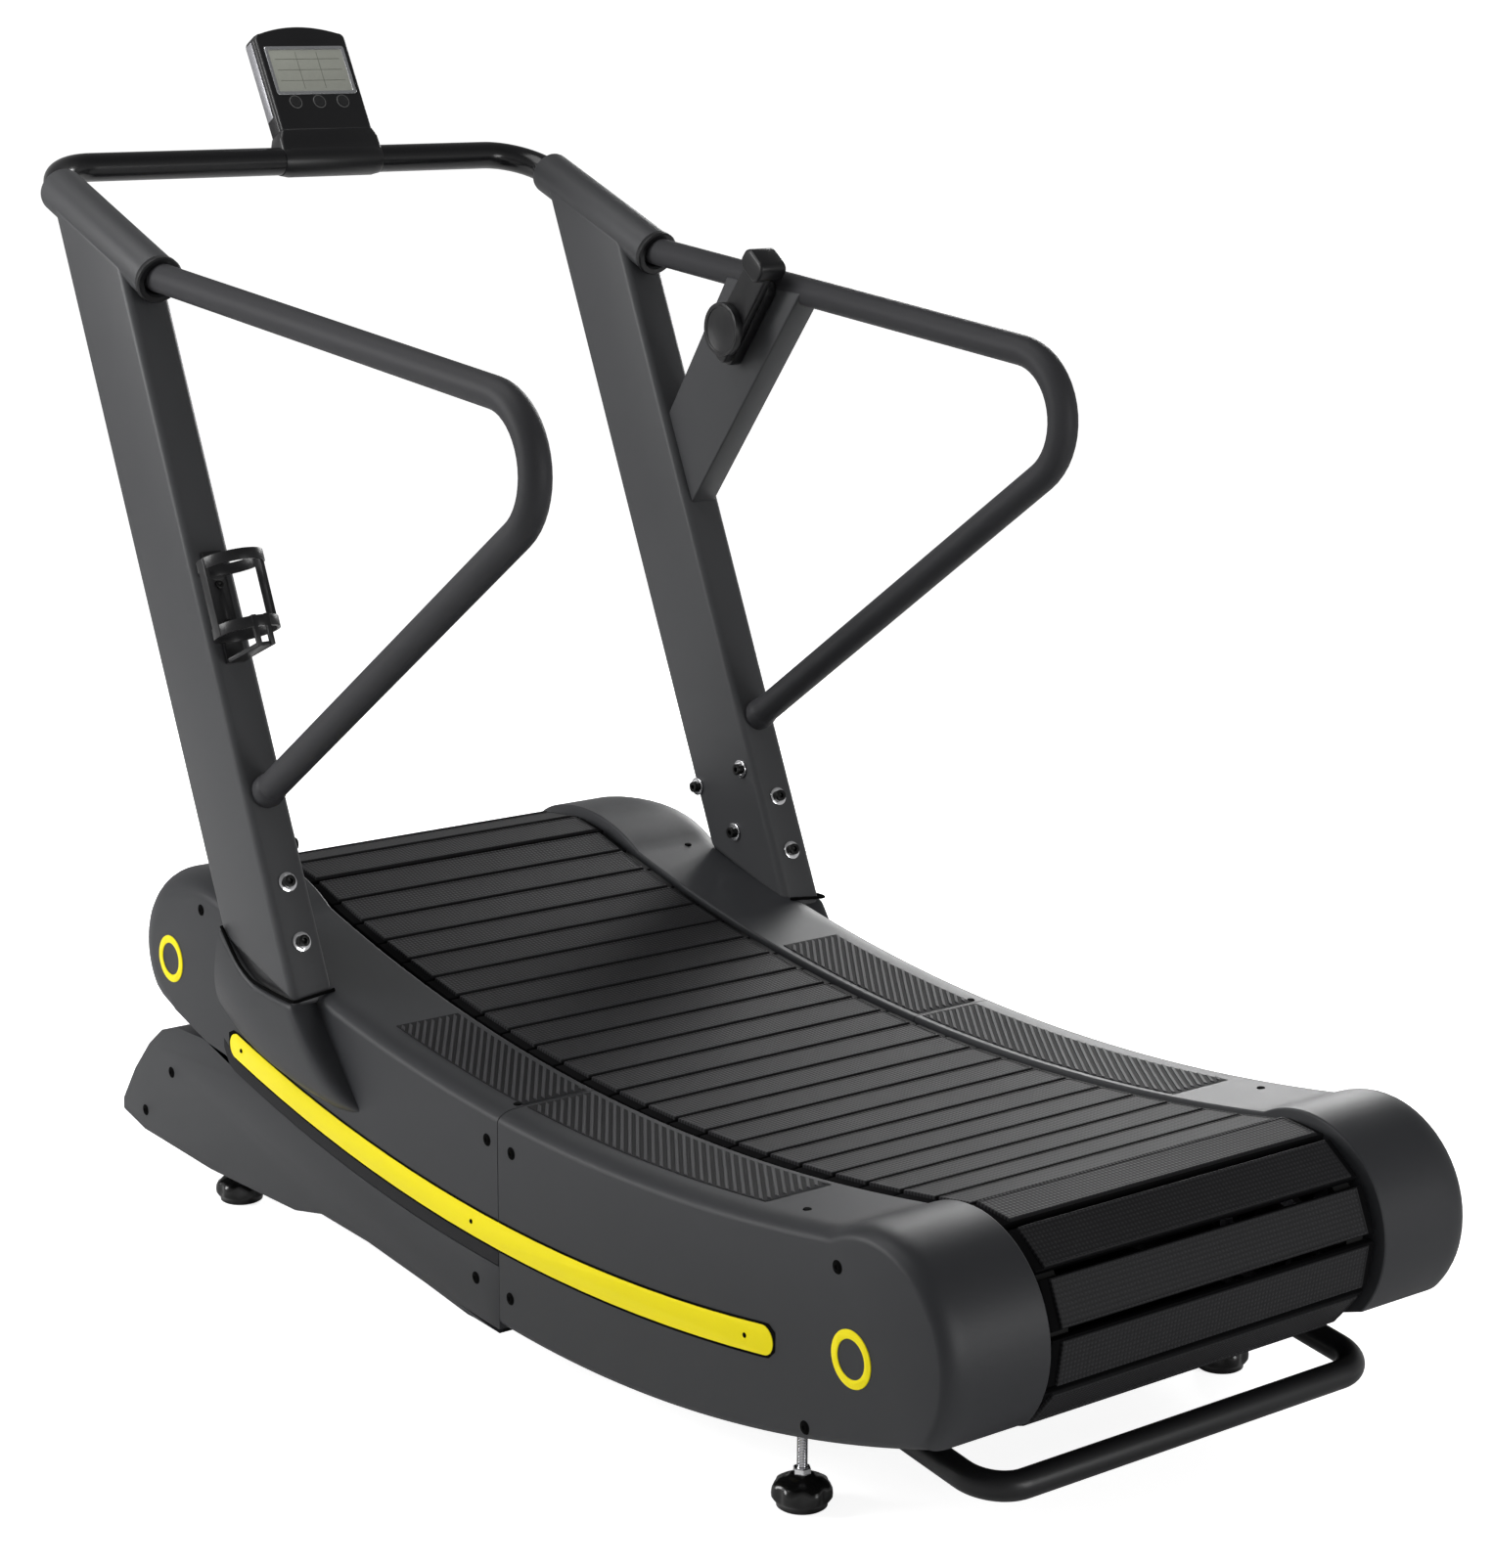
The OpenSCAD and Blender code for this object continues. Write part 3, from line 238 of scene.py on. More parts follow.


# Colour and roughness, picked one by one against the photograph, and what differs from material()'s own
# values.
LOOKS = {
    "cover_plastic": ((0.026, 0.027, 0.030), 0.46, dict(grain=1500, bump=0.22, vary=0.07, kind="Voronoi",
                                                        distance=0.0003, spec=0.30)),
    "powder_coat": ((0.047, 0.048, 0.051), 0.44, dict(grain=1100, bump=0.25, vary=0.08, distance=0.0003,
                                                      spec=0.34)),
    "black_coat": ((0.010, 0.010, 0.011), 0.36, dict(grain=1100, bump=0.22, distance=0.0003, spec=0.35)),
    "black_gloss": ((0.007, 0.007, 0.008), 0.22, dict(grain=1100, bump=0.12, distance=0.0002, spec=0.45)),
    "bolt": ((0.006, 0.006, 0.006), 0.35, dict(metal=0.2, grain=500, bump=0.1, spec=0.3)),
    "chrome": ((0.85, 0.85, 0.87), 0.12, dict(metal=1.0, grain=300, bump=0.03, vary=0.03, rough_vary=0.08)),
    "slat": ((0.003, 0.003, 0.0034), 0.7, dict(grain=700, bump=0.1, spec=0.05)),
    # The plates are darker and the ribs lighter than the cover's plastic: painted shade between the ribs and
    # painted highlight on their tops.
    "pad": ((0.012, 0.012, 0.013), 0.7, dict(bump=0.25, spec=0.12)),
    "pad_rib": ((0.040, 0.040, 0.043), 0.6, dict(bump=0.25, spec=0.25)),
    # Darker than the cover: painted shade for the recessed band under the stripe's front half.
    "ledge": ((0.014, 0.014, 0.016), 0.6, dict(grain=1200, bump=0.2, spec=0.15)),
    "rail_coat": ((0.034, 0.034, 0.037), 0.52, dict(grain=1100, bump=0.25, vary=0.08, distance=0.0003,
                                                    spec=0.18)),
    "belt": ((0.008, 0.008, 0.008), 0.7, dict(grain=600, bump=0.2, spec=0.2)),
    "drum": ((0.42, 0.42, 0.44), 0.3, dict(metal=1.0, grain=250, bump=0.08, stretch=(0.05, 1, 1))),
    "steel": ((0.5, 0.5, 0.52), 0.3, dict(metal=1.0, grain=400, bump=0.08, stretch=(0.1, 1, 1))),
    "flywheel": ((0.2, 0.2, 0.21), 0.4, dict(metal=1.0, grain=260)),
    "magnet": ((0.25, 0.25, 0.27), 0.3, dict(metal=1.0, grain=300, bump=0.05)),
    "lcd": ((0.36, 0.37, 0.325), 0.14, dict(grain=60, bump=0.01, vary=0.05, coat=0.4, rough_vary=0.04)),
    "lcd_mark": ((0.17, 0.18, 0.15), 0.3, dict(grain=60, bump=0.01, vary=0.05)),
    "bezel": ((0.62, 0.63, 0.65), 0.25, dict(metal=0.9, grain=400, bump=0.05, vary=0.05)),
    "pcb": ((0.02, 0.14, 0.05), 0.4, dict(grain=200, bump=0.1)),
    "yellow_trim": ((0.94, 0.80, 0.006), 0.40, dict(bump=0.08, vary=0.03, spec=0.15)),
    "cable": ((0.008, 0.008, 0.008), 0.45, dict(grain=600, bump=0.1, spec=0.3)),
    "roller": ((0.012, 0.012, 0.012), 0.5, dict(grain=500, bump=0.1, spec=0.3)),
    "foot_plastic": ((0.005, 0.005, 0.005), 0.25, dict(grain=500, bump=0.06, coat=0.2, spec=0.4)),
    "wheel_plastic": ((0.010, 0.010, 0.010), 0.5, dict(grain=500, spec=0.3)),
    "button_plastic": ((0.020, 0.020, 0.021), 0.4, dict(grain=600, bump=0.08, spec=0.3)),
    "button_rim": ((0.16, 0.16, 0.16), 0.4, dict(metal=0.3, grain=600, bump=0.08)),
    # Light grey metal for the strip of painted highlight on the console's left side.
    "satin": ((0.34, 0.34, 0.36), 0.35, dict(metal=0.7, grain=500, bump=0.05)),
    "black_plastic": ((0.009, 0.009, 0.010), 0.34, dict(grain=1300, kind="Voronoi", spec=0.40)),
    # Near-black and dull: the cover screws' heads, and painted shade on the seam tube round the mast's foot,
    # the strip round the stripe and the screw pits.
    "gap": ((0.002, 0.002, 0.002), 0.9, dict(grain=500, bump=0.05, spec=0.05)),
}
MATS = {name: material(name, color, rough, **more) for name, (color, rough, more) in LOOKS.items()}
MATS["tread"] = knurl("tread", (0.018, 0.018, 0.020), 0.62, pitch=0.0052, spec=0.22)


# ------------------------ mesh helpers (input in millimetres)


def metres(verts):
    """Side-view millimetres to the frame's metres."""
    return [(v[0] * K, (v[1] - MID_Y) * K, v[2] * K) for v in verts]


BEVEL_LIMIT = 40.0  # degrees; flatter edges are left as they are


def add_mesh(name, verts, faces, mat, body="frame", replaces=(), slot=None, smooth=30.0, bevel=None,
             segments=3):
    """New piece from millimetre vertices, with its normals turned outwards."""
    me = bpy.data.meshes.new(name)
    me.from_pydata(metres(verts), [], faces)
    me.validate()
    bm = bmesh.new()
    bm.from_mesh(me)
    bmesh.ops.remove_doubles(bm, verts=bm.verts, dist=1e-6)
    bmesh.ops.recalc_face_normals(bm, faces=bm.faces)
    bm.to_mesh(me)
    bm.free()
    obj = linked(name, me)
    finish_piece(obj, mat, body, replaces, slot, smooth, bevel, segments)
    return obj


def finish_piece(obj, mat, body, replaces, slot, smooth, bevel=None, segments=3, limit=BEVEL_LIMIT):
    """Paint and round a piece, hang it on its body and hide the CAD nodes it replaces."""
    paint(obj.data, mat)
    if bevel:
        mod = obj.modifiers.new("edges", "BEVEL")
        mod.width = bevel * K
        mod.segments = segments
        mod.limit_method = "ANGLE"
        mod.angle_limit = math.radians(limit)
        mod.harden_normals = False
        apply_modifiers(obj)
    smooth_by_angle(obj.data, smooth)
    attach(obj, body)
    if replaces:
        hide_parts(*replaces)


def paint(me, mat):
    me.materials.clear()
    me.materials.append(MATS[mat])


def apply_modifiers(obj):
    """Replace the piece's mesh with what its modifiers make of it."""
    dg = bpy.context.evaluated_depsgraph_get()
    dg.update()
    new = bpy.data.meshes.new_from_object(obj.evaluated_get(dg))
    old = obj.data
    obj.modifiers.clear()
    obj.data = new
    bpy.data.meshes.remove(old)


def smooth_by_angle(me, degrees):
    """Smooth shading that breaks at edges sharper than the given angle."""
    me.shade_smooth()
    bm = bmesh.new()
    bm.from_mesh(me)
    for e in bm.edges:
        if len(e.link_faces) != 2 or e.calc_face_angle(0.0) > math.radians(degrees):
            e.smooth = False
    bm.to_mesh(me)
    bm.free()


def mirror_pts(verts, side):
    return [(v[0] * side, v[1], v[2]) for v in verts]


def prism_faces(n):
    """Two ends and n sides of a prism whose second end follows its first in the vertex list."""
    faces = [tuple(range(n - 1, -1, -1)), tuple(range(n, 2 * n))]
    return faces + [(i, (i + 1) % n, n + (i + 1) % n, n + i) for i in range(n)]


def ring_faces(count, n, base=0):
    """Quads between count rings of n vertices, each ring closed on itself."""
    faces = []
    for i in range(count - 1):
        a, b = base + i * n, base + (i + 1) * n
        for j in range(n):
            k = (j + 1) % n
            faces.append((a + j, a + k, b + k, b + j))
    return faces


def spun_faces(steps, n):
    """Quads between steps copies of an n-vertex profile that stand in a full circle."""
    faces = []
    for i in range(steps):
        j = (i + 1) % steps
        for k in range(n - 1):
            faces.append((i * n + k, i * n + k + 1, j * n + k + 1, j * n + k))
    return faces


def prism(outline, x0, x1):
    """Side-view outline (y, z) extruded along x."""
    verts = [(x, y, z) for x in (x0, x1) for y, z in outline]
    return verts, prism_faces(len(outline))


def join(*parts):
    """One mesh from several (verts, faces) pairs."""
    verts, faces = [], []
    for v, f in parts:
        k = len(verts)
        verts += list(v)
        faces += [tuple(i + k for i in face) for face in f]
    return verts, faces


def lathe(profile, centre, steps):
    """Profile of (radius, height) turned about a vertical axis; its first copy points along +x."""
    verts = []
    for i in range(steps):
        a = 2 * math.pi * i / steps
        for r, h in profile:
            verts.append((centre[0] + r * math.cos(a), centre[1] + r * math.sin(a), h))
    return verts, spun_faces(steps, len(profile))


def rounded(points, radii, per):
    """Polyline (3D) whose inner corners are turned with the given radii, in per steps each."""
    pts = [Vector(p) for p in points]
    out = [pts[0]]
    for a, b, c, r in zip(pts, pts[1:], pts[2:], radii):
        u, v = (a - b).normalized(), (c - b).normalized()
        ang = u.angle(v)
        cut = r / math.tan(ang / 2)
        centre = b + (u + v).normalized() * (r / math.sin(ang / 2))
        p, q = b + u * cut - centre, b + v * cut - centre
        w = p.angle(q)
        for k in range(per + 1):
            t = k / per
            out.append(centre + (p * math.sin((1 - t) * w) + q * math.sin(t * w)) / math.sin(w))
    out.append(pts[-1])
    return out


def tube(points, radius, sides):
    """Round tube swept along points with frames carried along the path."""
    pts = [Vector(p) for p in points]
    n = len(pts)
    dirs = [(pts[min(i + 1, n - 1)] - pts[max(i - 1, 0)]).normalized() for i in range(n)]
    ref = dirs[0].orthogonal().normalized()
    verts = []
    for at, d in zip(pts, dirs):
        ref = (ref - d * ref.dot(d)).normalized()
        side = d.cross(ref)
        for k in range(sides):
            a = 2 * math.pi * k / sides
            verts.append(tuple(at + ref * (radius * math.cos(a)) + side * (radius * math.sin(a))))
    faces = ring_faces(n, sides)
    faces.append(tuple(range(sides - 1, -1, -1)))
    faces.append(tuple((n - 1) * sides + k for k in range(sides)))
    return verts, faces


COVER_EDGE_Z = 58.0  # height of the lower edge near the seam between the covers


def bevelled(node, mat, width, body):
    """A copy of a CAD node with its hard edges rounded."""
    me = NODES[node].data.copy()
    bm = bmesh.new()
    bm.from_mesh(me)
    # The lower covers' tips hang under the photograph's edge, so they are lifted to it.
    if node.startswith("lower_cover"):
        for v in bm.verts:
            v.co.z = max(v.co.z, COVER_EDGE_Z * K)
    bmesh.ops.remove_doubles(bm, verts=bm.verts, dist=2e-6)
    bmesh.ops.dissolve_limit(bm, angle_limit=math.radians(0.6), verts=bm.verts, edges=bm.edges)
    bm.to_mesh(me)
    bm.free()
    obj = linked(node + "_look", me)
    finish_piece(obj, mat, body, (node,), slot=None, smooth=35.0, bevel=width, segments=2, limit=35.0)


# ------------------------ belt path and cover outline (mm, side view)


def on(c, r, a):
    """Point at angle a on the circle of radius r about c."""
    return (c[0] + r * math.cos(a), c[1] + r * math.sin(a))


def arc_centre(p, q, d1, d2):
    """Point at distance d1 from p and d2 from q, to the left of the way from p to q."""
    vx, vy = q[0] - p[0], q[1] - p[1]
    d = math.hypot(vx, vy)
    a = (d * d + d1 * d1 - d2 * d2) / (2 * d)
    h = math.sqrt(d1 * d1 - a * a)
    ux, uy = vx / d, vy / d
    return (p[0] + a * ux - h * uy, p[1] + a * uy + h * ux)


def meet(c1, r1, c2, r2, pick):
    """Crossing of two circles; pick chooses between the two points."""
    vx, vy = c2[0] - c1[0], c2[1] - c1[1]
    d = math.hypot(vx, vy)
    a = (d * d + r1 * r1 - r2 * r2) / (2 * d)
    h = math.sqrt(max(0.0, r1 * r1 - a * a))
    mx, my = c1[0] + a * vx / d, c1[1] + a * vy / d
    two = [(mx - h * vy / d, my + h * vx / d), (mx + h * vy / d, my - h * vx / d)]
    return max(two, key=pick)


def angle(c, p):
    return math.atan2(p[1] - c[1], p[0] - c[0])


def arc(c, r, a0, a1, n):
    return [on(c, r, a0 + (a1 - a0) * i / n) for i in range(n + 1)]


# Circles of the side view: the drums' axles, the belt's track and return run, the crown over the front drum,
# the covers' lower edge (the sill), and the yellow stripe with the groove under it.
REAR = (REAR_JOINT[1] / K + MID_Y, REAR_JOINT[2] / K)
FRONT = (FRONT_JOINT[1] / K + MID_Y, FRONT_JOINT[2] / K)
TRACK_R, REAR_R, FRONT_R, CROWN_R, SKIN = 2800.0, 118.0, 105.0, 250.0, 12.0
CROWN_A = math.radians(75)
CROWN = on(FRONT, FRONT_R - CROWN_R, CROWN_A)
TRACK = arc_centre(REAR, CROWN, TRACK_R + REAR_R, TRACK_R + CROWN_R)
RETURN_R = 6000.0
RETURN = arc_centre(REAR, FRONT, RETURN_R - REAR_R + SKIN, RETURN_R - FRONT_R + SKIN)
SILL, SILL_R = (-230.0, 2161.0), 2100.0
STRIPE = (-210.0, 178.0 + TRACK_R)
GROOVE = (STRIPE[0], STRIPE[1] - 38.0)
SPLIT = -150.0  # y of the seam between front and rear covers
COVER_X = 385.0  # the covers' outer face
REAR_OUT, FRONT_OUT, CROWN_OUT = 7, 8.3, 8  # how far the covers stand past those circles
SLATS = 61


def path_places():
    """Place and outward angle of each slat's middle along the belt's pitch line."""
    pitch = [TRACK_R + SKIN, CROWN_R - SKIN, FRONT_R - SKIN, RETURN_R, REAR_R - SKIN]
    t0, t1 = angle(TRACK, REAR), angle(TRACK, CROWN)
    r0, r1 = angle(RETURN, REAR), angle(RETURN, FRONT)
    spans = [(TRACK, pitch[0], t0, t1, math.pi), (CROWN, pitch[1], t1 + math.pi, CROWN_A, 0.0),
             (FRONT, pitch[2], CROWN_A, r1, 0.0), (RETURN, pitch[3], r1, r0, 0.0),
             (REAR, pitch[4], r0, t0 - math.pi, 0.0)]
    lengths = [abs(b - a) * r for _, r, a, b, _ in spans]
    total = sum(lengths)
    out = []
    for i in range(SLATS):
        s = (i + 0.5) * total / SLATS
        for (c, r, a, b, flip), length in zip(spans, lengths):
            if s <= length:
                th = a + (b - a) * s / length
                out.append((on(c, r, th), th + flip))
                break
            s -= length
    return out, total / SLATS


def hollow_z(centre, r, y):
    """Height of the hollow curve of radius r about a centre over the machine."""
    return centre[1] - math.sqrt(r * r - (y - centre[0]) ** 2)


def deck_z(y):
    """Height of the covers' top, a millimetre under the belt's track."""
    return hollow_z(TRACK, TRACK_R + 1, y)


def cover_arcs(t):
    """Closed outline drawn in by t: rear nose, deck, crown, front nose, groove under the stripe, sill."""
    nose_r, nose_f = REAR_R + REAR_OUT - t, FRONT_R + FRONT_OUT - t
    deck, crown, sill = TRACK_R + 1 + t, CROWN_R + CROWN_OUT - t, SILL_R - t
    groove = TRACK_R - 1 - 0.15 * min(t, 14)
    a = meet(REAR, nose_r, TRACK, deck, lambda p: p[0])
    b = meet(TRACK, deck, CROWN, crown, lambda p: -abs(p[0] - 470))
    c = meet(CROWN, crown, FRONT, nose_f, lambda p: -abs(p[0] - 640))
    d = meet(FRONT, nose_f, GROOVE, groove, lambda p: p[0])
    e = meet(REAR, nose_r, SILL, sill, lambda p: -p[0])
    a_e = angle(REAR, e)
    a_a = angle(REAR, a)
    if a_e < a_a:
        a_e += 2 * math.pi
    d_c, d_d = angle(FRONT, c), angle(FRONT, d)
    if d_d > d_c:
        d_d -= 2 * math.pi
    return {
        "rear": arc(REAR, nose_r, a_e, a_a, 30),
        "deck": (TRACK, deck, angle(TRACK, a), angle(TRACK, b)),
        "crown": arc(CROWN, crown, angle(CROWN, b), angle(CROWN, c), 12),
        "front": arc(FRONT, nose_f, d_c, d_d, 26),
        "groove": (GROOVE, groove, angle(GROOVE, d)),
        "sill": (SILL, sill, angle(SILL, e)),
    }


def split_angle(c, r, y):
    """Angle at which the lower half of a circle passes y."""
    return -math.acos((y - c[0]) / r)


FRONT_STEPS, REAR_STEPS = 44, 34  # of each cover's long arcs
SPLIT_GAP = 0.6


def ring_points(t, half):
    """Outline points of one half of the cover, starting and ending at the split."""
    a = cover_arcs(t)
    c1, r1, d0, d1 = a["deck"]
    if half == "front":
        y, n = SPLIT + SPLIT_GAP, FRONT_STEPS
        g, gr, g0 = a["groove"]
        deck = arc(c1, r1, split_angle(c1, r1, y), d1, n)
        return deck + a["crown"][1:] + a["front"][1:] + arc(g, gr, g0, split_angle(g, gr, y), n)[1:]
    y, n = SPLIT - SPLIT_GAP, REAR_STEPS
    c2, r2, s1 = a["sill"]
    sill = arc(c2, r2, split_angle(c2, r2, y), s1, n)
    return sill + a["rear"][1:] + arc(c1, r1, d0, split_angle(c1, r1, y), n)[1:]


# ------------------------ covers

NOSE_FILLET = 55.0
# Each ring of a cover's skin, from its inner wall out: x, and how far the outline is drawn in there.
RINGS = [(246, 3.0), (246.8, 0.9), (248.6, 0.0), (256, 0.0), (300, 0.0), (330, 0.0), (337, 0.0), (344, 0.0),
         (350, 0.0), (356, 0.0), (363, 0.35), (369, 1.2), (374.5, 2.8), (379, 5.0), (382.4, 7.8),
         (384.3, 10.8), (COVER_X, 14.0)]
OPEN_RINGS = range(3, 13)  # between these the skin is open at the bottom and at the split


def nose_share(y):
    """How far the small edge radius has grown into the front nose's large one."""
    u = min(1.0, max(0.0, (y - 470) / 220))
    return u * u * (3 - 2 * u)


def cover_ring(x, t, half):
    """Outline at x, where the front nose's large radius takes over from the small one towards the front."""
    small = ring_points(t, half)
    over = x - (COVER_X - NOSE_FILLET)
    if half == "rear" or over <= 0:
        return small
    big = ring_points(max(t, NOSE_FILLET - math.sqrt(NOSE_FILLET ** 2 - over ** 2)), half)
    out = []
    for p, q in zip(small, big):
        w = nose_share(p[0])
        out.append((p[0] + (q[0] - p[0]) * w, p[1] + (q[1] - p[1]) * w))
    return out


def side_word(side):
    return "right" if side > 0 else "left"


def cover(side, half):
    """Skin of one cover."""
    rings = [cover_ring(x, t, half) for x, t in RINGS]
    verts = [(side * x, y, z) for (x, _), pts in zip(RINGS, rings) for y, z in pts]
    n = len(rings[0])
    bottom = range(REAR_STEPS) if half == "rear" else range(n - FRONT_STEPS - 1, n)
    faces = []
    for i in range(len(RINGS) - 1):
        for j in range(n):
            if i in OPEN_RINGS and (j in bottom or j == n - 1):
                continue
            k = (j + 1) % n
            faces.append((i * n + j, i * n + k, (i + 1) * n + k, (i + 1) * n + j))
    last = (len(RINGS) - 1) * n
    faces.append(tuple(last + j for j in range(n)))
    faces.append(tuple(range(n)))
    name = "cover_%s_%s" % (half, side_word(side))
    add_mesh(name + "_skin", verts, faces, "cover_plastic", replaces=(name,), slot="cover_plastic", smooth=24)


BOOT_TOP = [(246, 371), (268, 371), (300, 372), (330, 374), (351, 378), (382, 394), (419, 430)]
BOOT_LOW = [(150, 247), (190, 238), (240, 240), (300, 246), (360, 256), (415, 270), (470, 300)]
BOOT_ROWS = 12
BOOT_OUT = 38.0  # how far its top stands out of the cover's side
BOOT_SEAM = [(362, 245, 379), (398, 244.5, 375), (419.5, 245, 373)]
BOOT_SEAM += [(421.2, y, z + 1.5) for y, z in BOOT_TOP[1:]]


def between(p, q, v):
    return p[0] + (q[0] - p[0]) * v, p[1] + (q[1] - p[1]) * v


def boot(side):
    """Swelling round the foot of the mast, from the mast's face down to the side wall."""
    verts, faces = [], []
    n = len(BOOT_TOP)
    back = side * (COVER_X - 4)
    for j in range(BOOT_ROWS + 1):
        v = j / BOOT_ROWS
        h = BOOT_OUT * (1 - v) ** 0.62 * (1 + 0.8 * v)
        for top, low in zip(BOOT_TOP, BOOT_LOW):
            verts.append((side * (COVER_X - 1 + h + 1.5 * (1 - v)), *between(top, low, v)))
    for j in range(BOOT_ROWS):
        for i in range(n - 1):
            faces.append((j * n + i, j * n + i + 1, (j + 1) * n + i + 1, (j + 1) * n + i))
    rear = len(verts)
    for j in range(BOOT_ROWS + 1):
        v = j / BOOT_ROWS
        y, z = between(BOOT_TOP[0], BOOT_LOW[0], v)
        verts.append((back, y + 14 * (1 - v), z))
    for j in range(BOOT_ROWS):
        faces.append((j * n, (j + 1) * n, rear + j + 1, rear + j))
    rim = len(verts)
    for y, z in BOOT_TOP:
        verts.append((back, y + 1, z + 1))
    for i in range(n - 1):
        faces.append((i, rim + i, rim + i + 1, i + 1))
    obj = add_mesh("boot_" + side_word(side), verts, faces, "cover_plastic", slot="cover_plastic", smooth=180)
    mod = obj.modifiers.new("sub", "SUBSURF")
    mod.levels = mod.render_levels = 2
    apply_modifiers(obj)
    smooth_by_angle(obj.data, 50)


def boot_seam_shade(side):
    """Black tube of painted shade along the seam round the mast's foot, a smooth curve through the points of
    BOOT_SEAM.
    """
    line = [Vector((side * x, y, z)) for x, y, z in BOOT_SEAM]
    last = len(line) - 1
    seam = []
    for i in range(last):
        p0, p1, p2, p3 = (line[min(max(k, 0), last)] for k in (i - 1, i, i + 1, i + 2))
        for u in (0.0, 0.25, 0.5, 0.75):
            square = (2 * p0 - 5 * p1 + 4 * p2 - p3) * u * u
            seam.append(0.5 * (2 * p1 + (p2 - p0) * u + square + (3 * p1 - p0 - 3 * p2 + p3) * u ** 3))
    seam.append(line[-1])
    add_mesh("boot_seam_shade_" + side_word(side), *tube(seam, 2.2, 10), "gap", slot="cover_plastic")


PAD_IN, PAD_OUT = 256.0, 346.0
PAD_SPANS = ((-600, SPLIT - 4), (SPLIT + 4, 128))
RIB_SLOPE, RIB_STEP, RIB_WIDTH = 1.38, 14.8, 7.4
# Sections of a plate (x, height) and of a rib (way along the machine, height).
PLATE = [(PAD_IN, 0.0), (PAD_IN + 0.6, 0.7), (PAD_OUT - 0.6, 0.7), (PAD_OUT, 0.0)]
RIB = [(0.0, 0.6), (1.0, 1.9), (RIB_WIDTH - 1.0, 1.9), (RIB_WIDTH, 0.6)]


def strip_faces(count, base):
    """Three quads between each two of count + 1 rows of four vertices."""
    return [(a, a + 1, a + 5, a + 4) for i in range(count) for a in range(base + 4 * i, base + 4 * i + 3)]


def rib(c, slope, y0, y1, at, verts, faces):
    """One slanting rib that crosses PAD_IN at y = c, cut to the stretch that lies on the pad."""
    lo, hi = PAD_IN + 1.5, PAD_OUT - 1.5
    keep = [x for x in (lo + (hi - lo) * i / 80 for i in range(81))
            if y0 + 1.5 <= c + (x - PAD_IN) * slope and c + (x - PAD_IN) * slope + RIB_WIDTH <= y1 - 1.5]
    if len(keep) <= 3:
        return
    x0, x1 = keep[0], keep[-1]
    m = max(2, int((x1 - x0) / 12) + 1)
    base = len(verts)
    for i in range(m + 1):
        x = x0 + (x1 - x0) * i / m
        y = c + (x - PAD_IN) * slope
        verts += [at(x, y + d, h) for d, h in RIB]
    faces += strip_faces(m, base)
    end = base + 4 * m
    faces.append((base, base + 3, base + 2, base + 1))
    faces.append((end, end + 1, end + 2, end + 3))


def pads(side):
    """Thin plates and the slanting ribs on them."""
    plates, plate_faces, ribs, rib_faces = [], [], [], []
    steps, slope = 30, RIB_SLOPE * side
    reach = (PAD_OUT - PAD_IN) * RIB_SLOPE

    def at(x, y, h):
        return (side * x, y, deck_z(y) + h)

    for y0, y1 in PAD_SPANS:
        base = len(plates)
        for i in range(steps + 1):
            y = y0 + (y1 - y0) * i / steps
            plates += [at(x, y, h) for x, h in PLATE]
        plate_faces += strip_faces(steps, base)
        c = y0 - reach
        while c < y1 + reach:
            rib(c, slope, y0, y1, at, ribs, rib_faces)
            c += RIB_STEP
    return (plates, plate_faces), (ribs, rib_faces)


def grip_pads():
    """Ribbed foot pads on both covers' tops."""
    plates, ribs = zip(pads(-1), pads(1))
    add_mesh("grip_pad_plates", *join(*plates), "pad", replaces=("grip_pads",), slot="pad")
    add_mesh("grip_pad_ribs", *join(*ribs), "pad_rib", slot="pad")


# ------------------------ belt


SLAT_HALF = 238.0
SLAT_MID, SLAT_TOP, TREAD_TOP = 4.15, 8.0, 12.0
TREAD_END_GAP = 12  # from the slat's end to the tread's
# Sections along a tread: how far in from its end, and how its top runs there.
TREAD_RIM = [(0.0, "edge"), (0.9, "ridge"), (2.6, "ridge"), (3.1, "field")]


def slat_profile(w):
    """Closed outline (along the belt, outward) of a slat w wide, with its corners cut."""
    h = w / 2
    right = [(h - 0.8, 0.3), (h, 1.1), (h, 7.2), (h - 0.8, SLAT_TOP)]
    return [(-h + 0.8, 0.3)] + right + [(-t, n) for t, n in right[:0:-1]]


def tread_profile(w):
    """Open outline of the rubber on a slat, with a ridge along each edge."""
    q = w / 2 - 1
    left = [(-q, SLAT_TOP), (-q, 11.1), (-q + 0.9, TREAD_TOP), (-q + 2.6, TREAD_TOP), (-q + 3.1, 11.35)]
    return left + [(-t, n) for t, n in reversed(left)]


def tread_height(n, where):
    """Height of a profile point n in a section on the end ridge, at its cut edge or in the field between."""
    if where == "ridge":
        return TREAD_TOP if n > 11.2 else n
    return min(n, TREAD_TOP - 0.9) if where == "edge" else n


